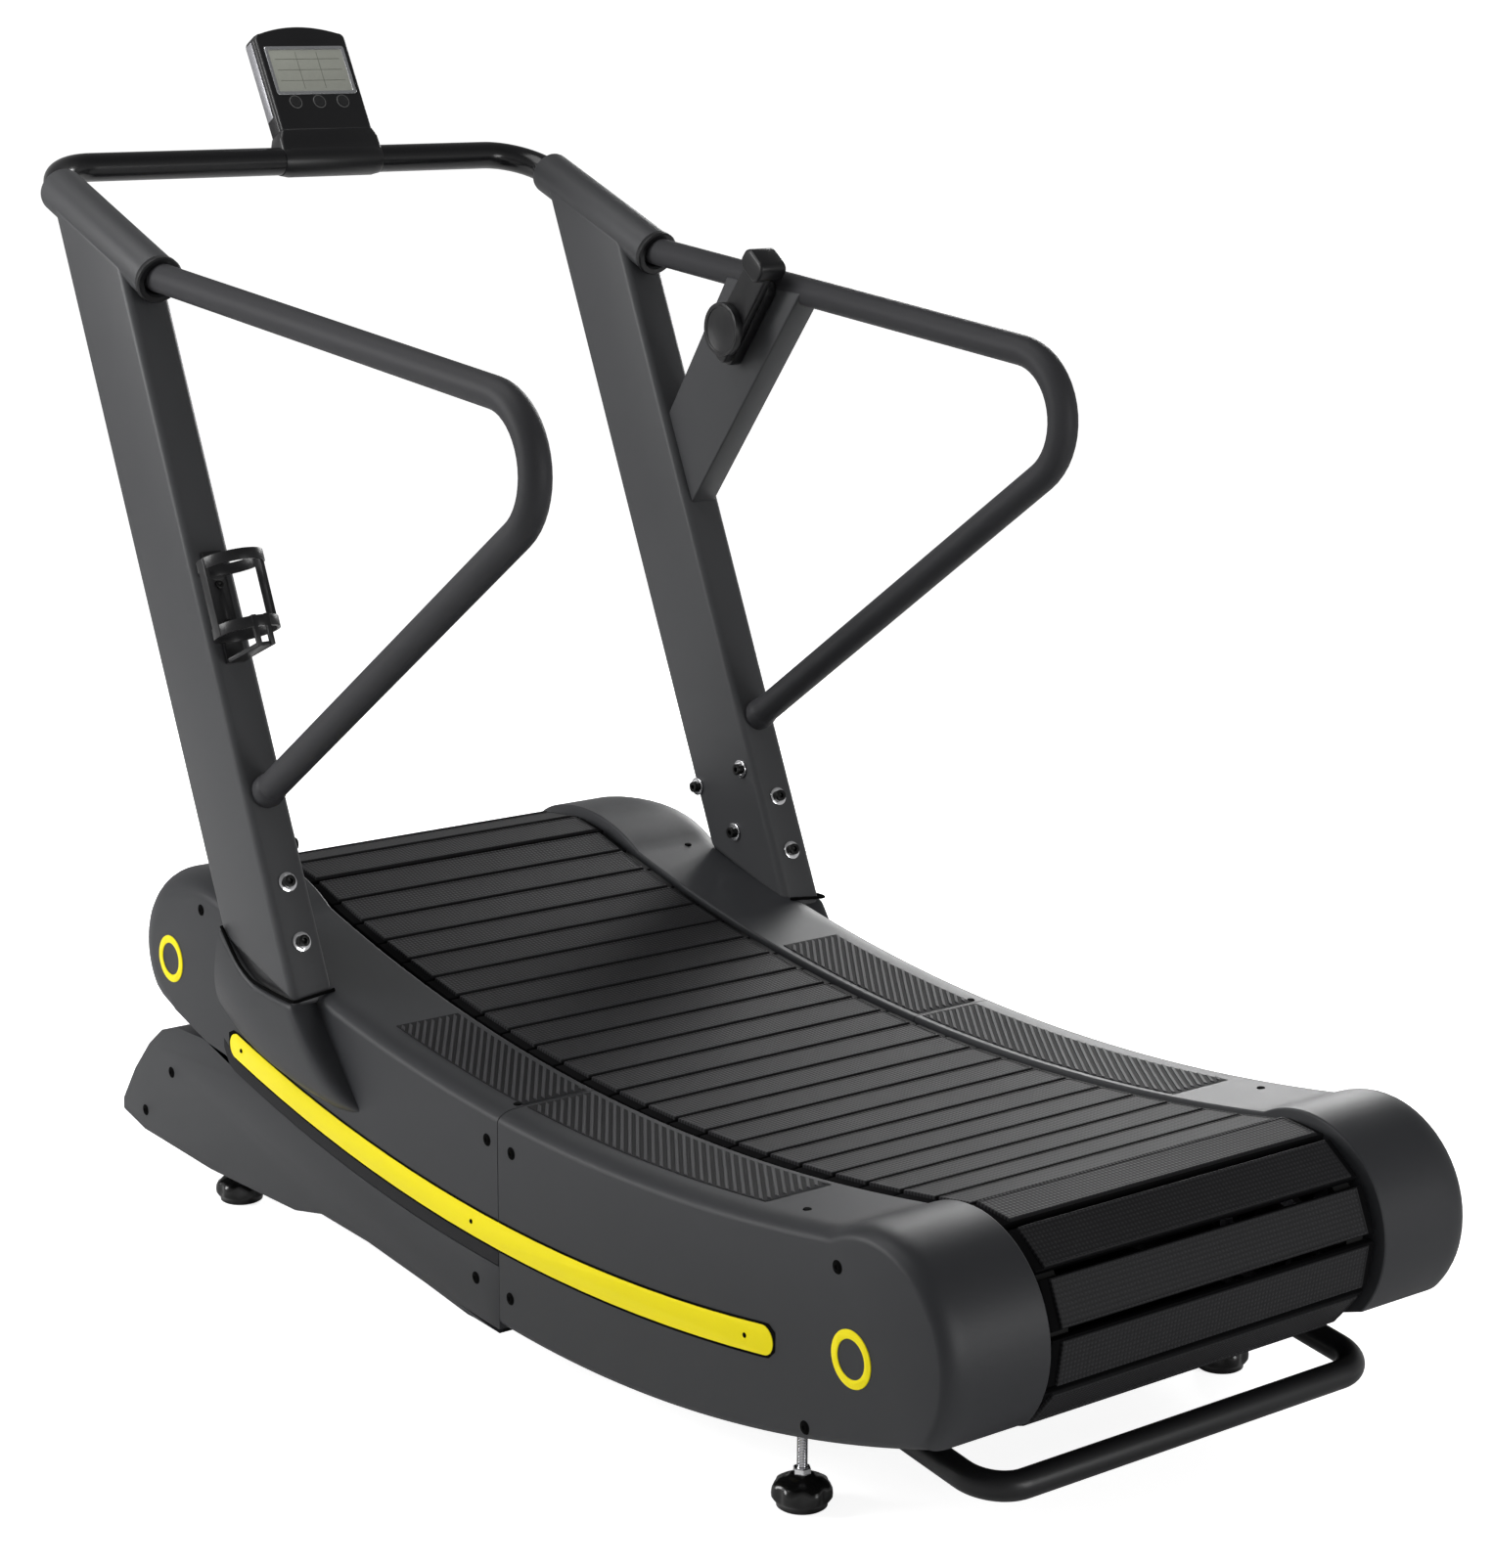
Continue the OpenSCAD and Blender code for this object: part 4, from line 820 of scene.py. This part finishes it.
def belt():
    """Slats and their knurled rubber treads, round the whole belt path."""
    places, pitch = path_places()
    w = pitch - 4
    slat, tread = slat_profile(w), tread_profile(w)
    half, end = SLAT_HALF, SLAT_HALF - TREAD_END_GAP
    sections = [(-end + d, where) for d, where in TREAD_RIM]
    sections += [(end - d, where) for d, where in reversed(TREAD_RIM)]
    sv, sf, tv, tf, tuv = [], [], [], [], []
    for (y, z), a in places:
        nrm = (math.cos(a), math.sin(a))
        tan = (-math.sin(a), math.cos(a))

        def put(x, t, n):
            return (x, y + tan[0] * t + nrm[0] * n, z + tan[1] * t + nrm[1] * n)

        k, m = len(sv), len(slat)
        for x, inset in ((-half, 0.7), (-half + 0.9, 0.0), (half - 0.9, 0.0), (half, 0.7)):
            for t, n in slat:
                sv.append(put(x, t * (1 - inset / (w / 2)), SLAT_MID + (n - SLAT_MID) * (1 - inset / 4)))
        sf += ring_faces(4, m, k)
        sf.append(tuple(k + j for j in range(m - 1, -1, -1)))
        sf.append(tuple(k + 3 * m + j for j in range(m)))
        k, m, last = len(tv), len(tread), len(sections) - 1
        for x, where in sections:
            for t, n in tread:
                tv.append(put(x, t, tread_height(n, where)))
                tuv.append((x * K, t * K))
        for r in range(last):
            for j in range(m - 1):
                tf.append((k + r * m + j, k + r * m + j + 1, k + (r + 1) * m + j + 1, k + (r + 1) * m + j))
        tf.append(tuple(k + j for j in range(m - 1, -1, -1)))
        tf.append(tuple(k + last * m + j for j in range(m)))
    add_mesh("slats_rounded", sv, sf, "slat", replaces=("slats",), slot="slat", smooth=40)
    treads(tv, tf, tuv)


def treads(tv, tf, tuv):
    """The treads' mesh, with UVs in metres for the knurling."""
    me = bpy.data.meshes.new("slat_treads_knurled")
    me.from_pydata(metres(tv), [], tf)
    me.update()
    layer = me.uv_layers.new(name="UVMap")
    for loop in me.loops:
        layer.data[loop.index].uv = tuv[loop.vertex_index]
    bm = bmesh.new()
    bm.from_mesh(me)
    bmesh.ops.recalc_face_normals(bm, faces=bm.faces)
    bm.to_mesh(me)
    bm.free()
    obj = linked("slat_treads_knurled", me)
    finish_piece(obj, "tread", "frame", ("slat_treads",), "tread", 35)


# ------------------------ masts, rails, bars

# Side-view points: the sleeve's rear end, the handlebar's middle, the rail's elbow and its end at the mast.
RING_P, BAR_P, ELBOW, JOIN = (593.0, 1232.0), (909.0, 1353.0), (-393.0, 1138.0), (349.0, 616.0)
RAIL_X, RAIL_R, SLEEVE_R, SLEEVE_LEN = 388.0, 19.0, 30.0, 273.0
BAR_BEND = 75.0
LEAN = 0.44
SLEEVE_WAY = Vector((0, BAR_P[0] - RING_P[0], BAR_P[1] - RING_P[1])).normalized()


def mast_rear(z):
    """The mast's rear edge at height z."""
    return 438 + LEAN * (z - 800)


def turned(profile, start, direction, steps=48):
    """Profile of (radius, distance) turned about a line from start along direction."""
    d = Vector(direction).normalized()
    u = d.orthogonal().normalized()
    v = d.cross(u)
    verts = []
    for i in range(steps):
        a = 2 * math.pi * i / steps
        w = u * math.cos(a) + v * math.sin(a)
        for r, s in profile:
            verts.append(tuple(Vector(start) + d * s + w * r))
    return verts, spun_faces(steps, len(profile))


def masts():
    """Leaning boxes with a sleeve and its ring at the top."""
    sleeve = [(24, 0.0), (28.6, 0.0), (SLEEVE_R, 1.6), (SLEEVE_R, SLEEVE_LEN - 5), (29.2, SLEEVE_LEN - 1.5),
              (27, SLEEVE_LEN), (RAIL_R, SLEEVE_LEN)]
    ring = [(20, 13), (20, -6), (23, -9.0), (29.5, -9.0), (31.5, -7.2), (31.5, -1.6), (SLEEVE_R, 0.2),
            (26.9, 0.2), (26.9, 13)]
    box = [(mast_rear(363), 363), (mast_rear(416) + 153, 416), (819.2, 1318.6), (635.2, 1248.2)]
    for side in (-1, 1):
        word = side_word(side)
        v, f = prism(box, 358, 418)
        add_mesh("mast_%s_box" % word, mirror_pts(v, side), f, "powder_coat", replaces=("mast_" + word,),
                 slot="powder_coat", bevel=10, segments=5, smooth=40)
        start = Vector((side * RAIL_X, *RING_P))
        add_mesh("sleeve_%s" % word, *turned(sleeve, start, SLEEVE_WAY), "powder_coat", slot="powder_coat",
                 smooth=40)
        add_mesh("sleeve_ring_%s" % word, *turned(ring, start, SLEEVE_WAY), "black_plastic",
                 replaces=("sleeve_rings",) if side < 0 else (), slot="black_plastic", smooth=40)


def side_rail(side):
    """Tube from the sleeve back round the elbow and down to the mast, with a collar of weld at its end."""
    word = side_word(side)
    start, elbow, end = (Vector((side * RAIL_X, *p)) for p in (RING_P, ELBOW, JOIN))
    up = (elbow - end).normalized()
    pts = rounded([start + SLEEVE_WAY * 118, start + SLEEVE_WAY * 6, elbow, end - up * 40], [60, 84], 18)
    add_mesh("side_rail_%s_tube" % word, *tube(pts, RAIL_R, 40), "rail_coat", replaces=("side_rail_" + word,),
             slot="powder_coat", smooth=50)
    weld = [(RAIL_R, 20), (19.4, 18), (20.4, 16), (20.8, 12), (21.2, 4)]
    add_mesh("rail_weld_%s" % word, *turned(weld, end - up * 6, up), "rail_coat", slot="powder_coat",
             smooth=60)


def handlebar():
    """Glossy bar from one sleeve across the front to the other."""
    start = Vector((RAIL_X, *RING_P)) + SLEEVE_WAY * 132
    corner = Vector((RAIL_X, *BAR_P))
    flip = Vector((-1, 1, 1))
    pts = rounded([start * flip, corner * flip, corner, start], [BAR_BEND, BAR_BEND], 18)
    add_mesh("front_handlebar_tube", *tube(pts, RAIL_R, 40), "black_gloss", replaces=("front_handlebar",),
             slot="powder_coat", smooth=50)


def lift_bar():
    """Bent tube at the rear for tipping the machine, with a lug at each end."""
    corner, top, x = (-893.0, 98.0), (-600.0, 138.0), 281.0
    pts = rounded([(-x, *top), (-x, *corner), (x, *corner), (x, *top)], [46, 46], 16)
    lug, faces = prism([(-650, 120), (-604, 120), (-604, 152), (-650, 152)], 289, 298)
    lugs = [(mirror_pts(lug, side), faces) for side in (-1, 1)]
    add_mesh("lift_bar_tube", *join(tube(pts, 16, 32), *lugs), "black_coat", replaces=("lift_bar",),
             slot="powder_coat", smooth=50)


# ------------------------ lever

HUB, ARM = (362.0, 1146.0), (-0.61, 0.79)


def slab(a0, a1, w, r):
    """Rounded outline along the lever's arm, from a0 to a1 past the hub and w to each side."""
    pts = []
    for end, sign, start in ((a1 - r, 1, 0), (a0 + r, 1, 90), (a0 + r, -1, 180), (a1 - r, -1, 270)):
        for i in range(7):
            t = math.radians(start + 15 * i)
            u, v = end + r * math.cos(t), sign * (w - r) + r * math.sin(t)
            pts.append((HUB[0] + ARM[0] * u + ARM[1] * v, HUB[1] + ARM[1] * u - ARM[0] * v))
    return pts


def lever():
    """Brace and case on the right mast, and the arm and cap that turn with the lever's own body."""
    brace = [(480, 895), (534, 1015), (403, 1211), (244, 1200)]
    add_mesh("lever_brace", *prism(brace, 368, 408), "powder_coat", replaces=("lever_strut",),
             slot="powder_coat", bevel=2.5, smooth=40)
    add_mesh("lever_case", *prism(slab(-52, 90, 24, 13), 350, 368), "black_plastic",
             replaces=("lever_housing",), slot="black_plastic", bevel=2.5, smooth=40)
    add_mesh("lever_arm", *prism(slab(-46, 112, 23.5, 12), 336.6, 349.6), "black_plastic", body="lever_body",
             replaces=("shift_lever",), slot="black_plastic", bevel=3, smooth=40)
    add_mesh("lever_cap", *prism(slab(97, 128, 23, 12), 324, 367), "black_plastic", body="lever_body",
             slot="black_plastic", bevel=4, segments=4, smooth=40)


# ------------------------ console

TILT = math.radians(29)
CON_X = 56.0


def con(x, toward, up):
    """Point on the tilted console: x from its middle, toward the user, up its face."""
    return (CON_X + x, BAR_P[0] + up * math.sin(TILT) - toward * math.cos(TILT),
            BAR_P[1] + up * math.cos(TILT) + toward * math.sin(TILT))


def con_prism(outline, t0, t1):
    """Outline on the console's face, extruded towards the user."""
    verts = [con(x, t, up) for t in (t0, t1) for x, up in outline]
    return verts, prism_faces(len(outline))


def quarter(cx, cz, radius, start, steps):
    """Quarter turn that begins at start degrees."""
    turn = [math.radians(start + 90 / steps * i) for i in range(steps + 1)]
    return [(cx + radius * math.cos(a), cz + radius * math.sin(a)) for a in turn]


def oblong(x0, z0, x1, z1):
    return [(x0, z0), (x1, z0), (x1, z1), (x0, z1)]


def arched(w, z0, z1, rise, corner):
    """Outline with a bowed top and rounded corners."""
    low, steps = 3, 14
    pts = quarter(-w + low, z0 + low, low, 180, 4) + quarter(w - low, z0 + low, low, 270, 4)
    pts += quarter(w - corner, z1 - corner, corner, 0, 5)
    for i in range(1, steps):
        u = 1 - 2 * i / steps
        pts.append(((w - corner) * u, z1 + rise * (1 - u * u)))
    return pts + quarter(-w + corner, z1 - corner, corner, 90, 5)


def frame_ring(w, h, cz, t, r, inner_drop, y0, y1):
    """Rectangular bezel with a sloping inner edge."""
    def loop(a, b, y, rad):
        out = []
        for sx, sz, start in ((1, 1, 0), (-1, 1, 90), (-1, -1, 180), (1, -1, 270)):
            corner = quarter(sx * (a - rad), cz + sz * (b - rad), rad, start, 4)
            out += [con(x, y, z) for x, z in corner]
        return out
    loops = [loop(w, h, y0, r), loop(w, h, y1 - 0.4, r), loop(w - 0.4, h - 0.4, y1, r),
             loop(w - t + 1, h - t + 1, y1, r * 0.6), loop(w - t, h - t, y1 - inner_drop, r * 0.5)]
    return [v for points in loops for v in points], ring_faces(len(loops), len(loops[0]))


SCREEN_UP = 128  # height of the screen's middle on the console's face
SCREEN_HALF = (60, 33)
BUTTON_UP, BUTTON_STEP = 80, 38
BOX_FACES = [(0, 1, 2, 3), (7, 6, 5, 4), (0, 4, 5, 1), (1, 5, 6, 2), (2, 6, 7, 3), (3, 7, 4, 0)]


def console():
    """Shell, fascia and trim of the console, a strip of painted highlight on its left side, and the neck and
    clamp that hold it on the bar.
    """
    add_mesh("console_shell", *con_prism(arched(73, 33, 187, 10, 10), -12, 14.5), "black_plastic",
             replaces=("console_back",), slot="black_plastic", bevel=3.2, smooth=40)
    add_mesh("console_fascia", *con_prism(arched(72, 37, 186, 10, 9), 12, 20), "black_plastic",
             replaces=("console_front",), slot="black_plastic", bevel=2.6, smooth=40)
    screen()
    # A light grey strip on the console's left side only: painted highlight for the sheen on the shell's side.
    add_mesh("console_side_highlight", *con_prism(oblong(-74.2, 62, -72.6, 178), -8, 8), "satin",
             slot="black_plastic", bevel=0.6, segments=2)
    screen_grid()
    buttons()
    neck = [(-79, 4), (79, 4), (79, 26), (73, 40), (-73, 40), (-79, 26)]
    add_mesh("console_neck", *con_prism(neck, -14, 20), "black_plastic", replaces=("console_bracket",),
             slot="powder_coat", bevel=4, smooth=40)
    clamp = [(19.05, -78), (20, -78), (22.4, -66), (22.4, 66), (20, 78), (19.05, 78)]
    add_mesh("console_clamp", *turned(clamp, (CON_X, *BAR_P), (1, 0, 0)), "black_plastic", slot="powder_coat",
             smooth=40)


def screen():
    """Bezel and glass."""
    add_mesh("screen_bezel_frame", *frame_ring(64, 37, SCREEN_UP, 5.5, 4, 1.6, 19.5, 21.4), "bezel",
             replaces=("screen_bezel",), slot="bezel", smooth=35)
    w, h = SCREEN_HALF
    glass = [con(x, t, SCREEN_UP + z) for t in (20.35, 18.6) for x, z in oblong(-w, -h, w, h)]
    add_mesh("console_glass", glass, BOX_FACES, "lcd", replaces=("console_screen",), slot="lcd", bevel=0.3,
             segments=2)


def screen_grid():
    """Faint lines that stand in for the display."""
    marks = [con_prism(oblong(-52, z, 52, z + 0.8), 20.3, 20.5) for z in (112, 128.5, 145)]
    marks += [con_prism(oblong(x, 100, x + 0.8, 156), 20.3, 20.5) for x in (-17, 17)]
    add_mesh("console_grid", *join(*marks), "lcd_mark", slot="lcd")


def buttons():
    """Three round buttons, each on its own body, with a rim that stays on the console."""
    cap = [(0.01, 1.9), (5.2, 1.7), (7.2, 1.1), (7.9, 0.0), (8.0, -3)]
    rim = [(8.5, -0.3), (8.7, 0.5), (9.6, 0.5), (10.2, -0.3)]
    out = Vector(con(0, 1, 0)) - Vector(con(0, 0, 0))
    for i, word in ((-1, "left"), (0, "middle"), (1, "right")):
        at = con(BUTTON_STEP * i, 20, BUTTON_UP)
        name = "button_" + word
        add_mesh(name + "_cap", *turned(cap, at, out, 32), "button_plastic", body=name + "_body",
                 replaces=(name,), slot="button_plastic", smooth=40)
        add_mesh(name + "_rim", *turned(rim, at, out, 32), "button_rim", slot="black_plastic", smooth=40)


# ------------------------ feet


KNOB = [(0.01, 0), (26, 0), (28, 1.4), (28.4, 6), (31, 8.2), (33.6, 12), (34, 17), (33.4, 22), (31, 26.5),
        (26, 29.5), (20, 31.5), (15, 34.5), (12.5, 37), (9, 37.6), (0.01, 37.6)]
KNOB_STEPS, KNOB_LOBES = 84, 7
LOBES_FROM, LOBES_TO = 7, 30  # heights between which the knob is scalloped
THREAD_FROM, THREAD_TO, THREAD_PITCH = 36.0, 140, 1.75


def knob(cx, cy):
    """Foot pad and the scalloped knob above it."""
    verts = []
    for i in range(KNOB_STEPS):
        a = 2 * math.pi * i / KNOB_STEPS
        for r, z in KNOB:
            k = 1.0
            if LOBES_FROM < z < LOBES_TO:
                w = math.sin(math.pi * (z - LOBES_FROM) / (LOBES_TO - LOBES_FROM))
                k = 1 - 0.13 * w * (0.5 - 0.5 * math.cos(KNOB_LOBES * a)) ** 1.5
            verts.append((cx + r * k * math.cos(a), cy + r * k * math.sin(a), z))
    return verts, spun_faces(KNOB_STEPS, len(KNOB))


def stem_profile():
    """Threaded rod, as stacked rings."""
    stem = [(0.01, THREAD_FROM)]
    z = THREAD_FROM
    while z < THREAD_TO:
        stem += [(5.9, z), (5.9, z + 0.35), (5.35, z + 0.9), (5.35, z + 1.15)]
        z += THREAD_PITCH
    return stem + [(5.2, 141), (4.4, 143.5), (0.01, 143.5)]


def feet():
    """Four levelling feet, each on its own body."""
    nut = [(5.5, 37), (9.5, 37), (10.2, 38), (10.2, 43.5), (9.5, 44.5), (5.5, 44.5)]
    stem = stem_profile()
    for name in ("front_left", "front_right", "rear_left", "rear_right"):
        lo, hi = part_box("foot_" + name)
        at = ((lo.x + hi.x) / 2 / K, (lo.y + hi.y) / 2 / K + MID_Y)
        body = "foot_%s_body" % name
        add_mesh("foot_%s_knob" % name, *knob(*at), "foot_plastic", body=body, replaces=("foot_" + name,),
                 slot="foot_plastic", smooth=50)
        add_mesh("foot_%s_collar" % name, *lathe(nut, at, 6), "chrome", body=body, slot="steel", smooth=20)
        add_mesh("foot_%s_stem" % name, *lathe(stem, at, 28), "chrome", body=body, slot="steel", smooth=35)


# ------------------------ small pieces


def ring_plugs():
    """Dark plugs inside the yellow rings on the covers' sides."""
    prof = [(0.01, -1.6), (14, -1.4), (18.5, -0.6), (20.6, 0.35), (21.4, 0.35), (21.6, -1.0)]
    places = ((REAR[0] + 23, REAR[1] - 18), (FRONT[0] + 10, FRONT[1] - 6))
    parts = [turned(prof, (side * COVER_X, y, z), (side, 0, 0), 48) for side in (-1, 1) for y, z in places]
    add_mesh("ring_plugs", *join(*parts), "black_plastic", slot="black_plastic", smooth=40)


CHANNEL_STEPS = 48


def channel(y0, y1, up, down, x):
    """Strip along the stripe, from up above its middle to down below it, rounded at the machine's ends."""
    verts = []
    for i in range(CHANNEL_STEPS + 1):
        y = y0 + (y1 - y0) * i / CHANNEL_STEPS
        tip = min(1.0, (y - y0 + 3) / 18 if y0 < -600 else 1.0, (y1 + 3 - y) / 26 if y1 > 400 else 1.0)
        tip = math.sqrt(max(0.02, tip * (2 - tip)))
        verts += [(x, y, hollow_z(STRIPE, r, y)) for r in (TRACK_R - up * tip, TRACK_R + down * tip)]
    return verts, [(a, a + 1, a + 3, a + 2) for a in range(0, 2 * CHANNEL_STEPS, 2)]


def stripe_painted_shade():
    """Painted shade round the stripe: a near-black strip behind it that shows as a dark outline, and a darker
    band under its front half, flat sheets standing for the recess there in shade.
    """
    edges, bands = [], []
    for side in (-1, 1):
        edges += [channel(-668, SPLIT - 1, 19.6, 19.6, side * (COVER_X + 0.35)),
                  channel(SPLIT + 1, 472, 19.6, 19.6, side * (COVER_X + 0.35))]
        bands.append(channel(SPLIT + 1, 486, -10.0, 36.5, side * (COVER_X + 0.2)))
    add_mesh("stripe_painted_shade", *join(*edges), "gap", slot="cover_plastic")
    add_mesh("stripe_band_shade", *join(*bands), "ledge", slot="cover_plastic")


SIDE_SCREWS = [(537, 421), (632, 176), (709, 103), (-128, 290), (-178, 287), (-101, 112), (-173, 108),
               (-768, 330), (-718, 138)]
TOP_SCREWS = [(338, -661), (330, 437), (350, -140)]
STRIPE_SCREWS = [-617, -94, 440]


def screw_heads():
    """Black socket heads in the covers' sides and the stripe, and near-black discs of painted shade for the
    pits round them and in the covers' tops.
    """
    side_head = [(0.01, 0.4), (2.4, 0.4), (2.6, 1.4), (4.6, 1.3), (5.4, 0.6)]
    side_pit = [(0.01, 0.3), (7.4, 0.3), (7.9, -0.4)]
    top_pit = [(0.01, 1.2), (4.2, 1.2), (5.0, 0.2), (5.0, -1.5)]
    stripe_head = [(0.01, 1.5), (1.1, 1.5), (1.2, 2.3), (2.2, 2.2), (2.9, 1.6), (3.0, 1.0)]
    heads, pits = [], []
    for side in (-1, 1):
        out = (side, 0, 0)
        for y, z in SIDE_SCREWS:
            heads.append(turned(side_head, (side * COVER_X, y, z), out, 28))
            pits.append(turned(side_pit, (side * COVER_X, y, z), out, 28))
        for x, y in TOP_SCREWS:
            pits.append(turned(top_pit, (side * x, y, deck_z(y)), (0, 0, 1), 20))
        for y in STRIPE_SCREWS:
            heads.append(turned(stripe_head, (side * COVER_X, y, hollow_z(STRIPE, TRACK_R, y)), out, 24))
    add_mesh("cover_screw_heads", *join(*heads), "gap", replaces=("cover_screws",), slot="bolt", smooth=40)
    # The pits are near-black discs: painted shade for the holes the screws sit in.
    add_mesh("cover_screw_pits", *join(*pits), "gap", slot="bolt", smooth=40)


# Nodes shown as the CAD has them, by material.
PAINT = {
    "powder_coat": ("side_frame_left", "side_frame_right", "cross_members"),
    "black_coat": ("base_rail_left", "base_rail_right"),
    "belt": ("drive_belts", "flywheel_belt"),
    "drum": ("front_drum", "rear_drum"),
    "steel": ("axle_bearings", "track_bearings", "magnet_bracket"),
    "flywheel": ("flywheel",),
    "magnet": ("magnets",),
    "pcb": ("circuit_board",),
    "cable": ("lever_cable",),
    "chrome": ("foot_lock_nuts",),
    "roller": ("return_roller_front", "return_roller_rear"),
}

# Nodes shown as a copy with rounded edges: material, width of the rounding in mm, body.
BEVELLED = {
    "lower_cover_left": ("cover_plastic", 4.0, "frame"),
    "lower_cover_right": ("cover_plastic", 4.0, "frame"),
    "stripes": ("yellow_trim", 0.5, "frame"),
    "ring_trims": ("yellow_trim", 0.8, "frame"),
    "lever_hub_cap": ("black_plastic", 2.0, "lever_body"),
    "mast_bolts": ("bolt", 0.8, "frame"),
    "mast_washers": ("chrome", 0.6, "frame"),
    "bottle_cage": ("black_plastic", 1.0, "frame"),
    "cage_screws": ("bolt", 0.5, "frame"),
    "transport_wheel_left": ("wheel_plastic", 1.5, "wheel_left_body"),
    "transport_wheel_right": ("wheel_plastic", 1.5, "wheel_right_body"),
}


def cad_pieces():
    """Every node that no piece above replaces."""
    for node, (mat, width, body) in BEVELLED.items():
        bevelled(node, mat, width, body)
    for mat, nodes in PAINT.items():
        for node in nodes:
            paint(NODES[node].data, mat)


# ------------------------ build

look_camera()
studio()
for machine_side in (-1, 1):
    cover(machine_side, "front")
    cover(machine_side, "rear")
    boot(machine_side)
    boot_seam_shade(machine_side)
grip_pads()
belt()
masts()
side_rail(-1)
side_rail(1)
handlebar()
lift_bar()
lever()
console()
feet()
ring_plugs()
stripe_painted_shade()
screw_heads()
cad_pieces()
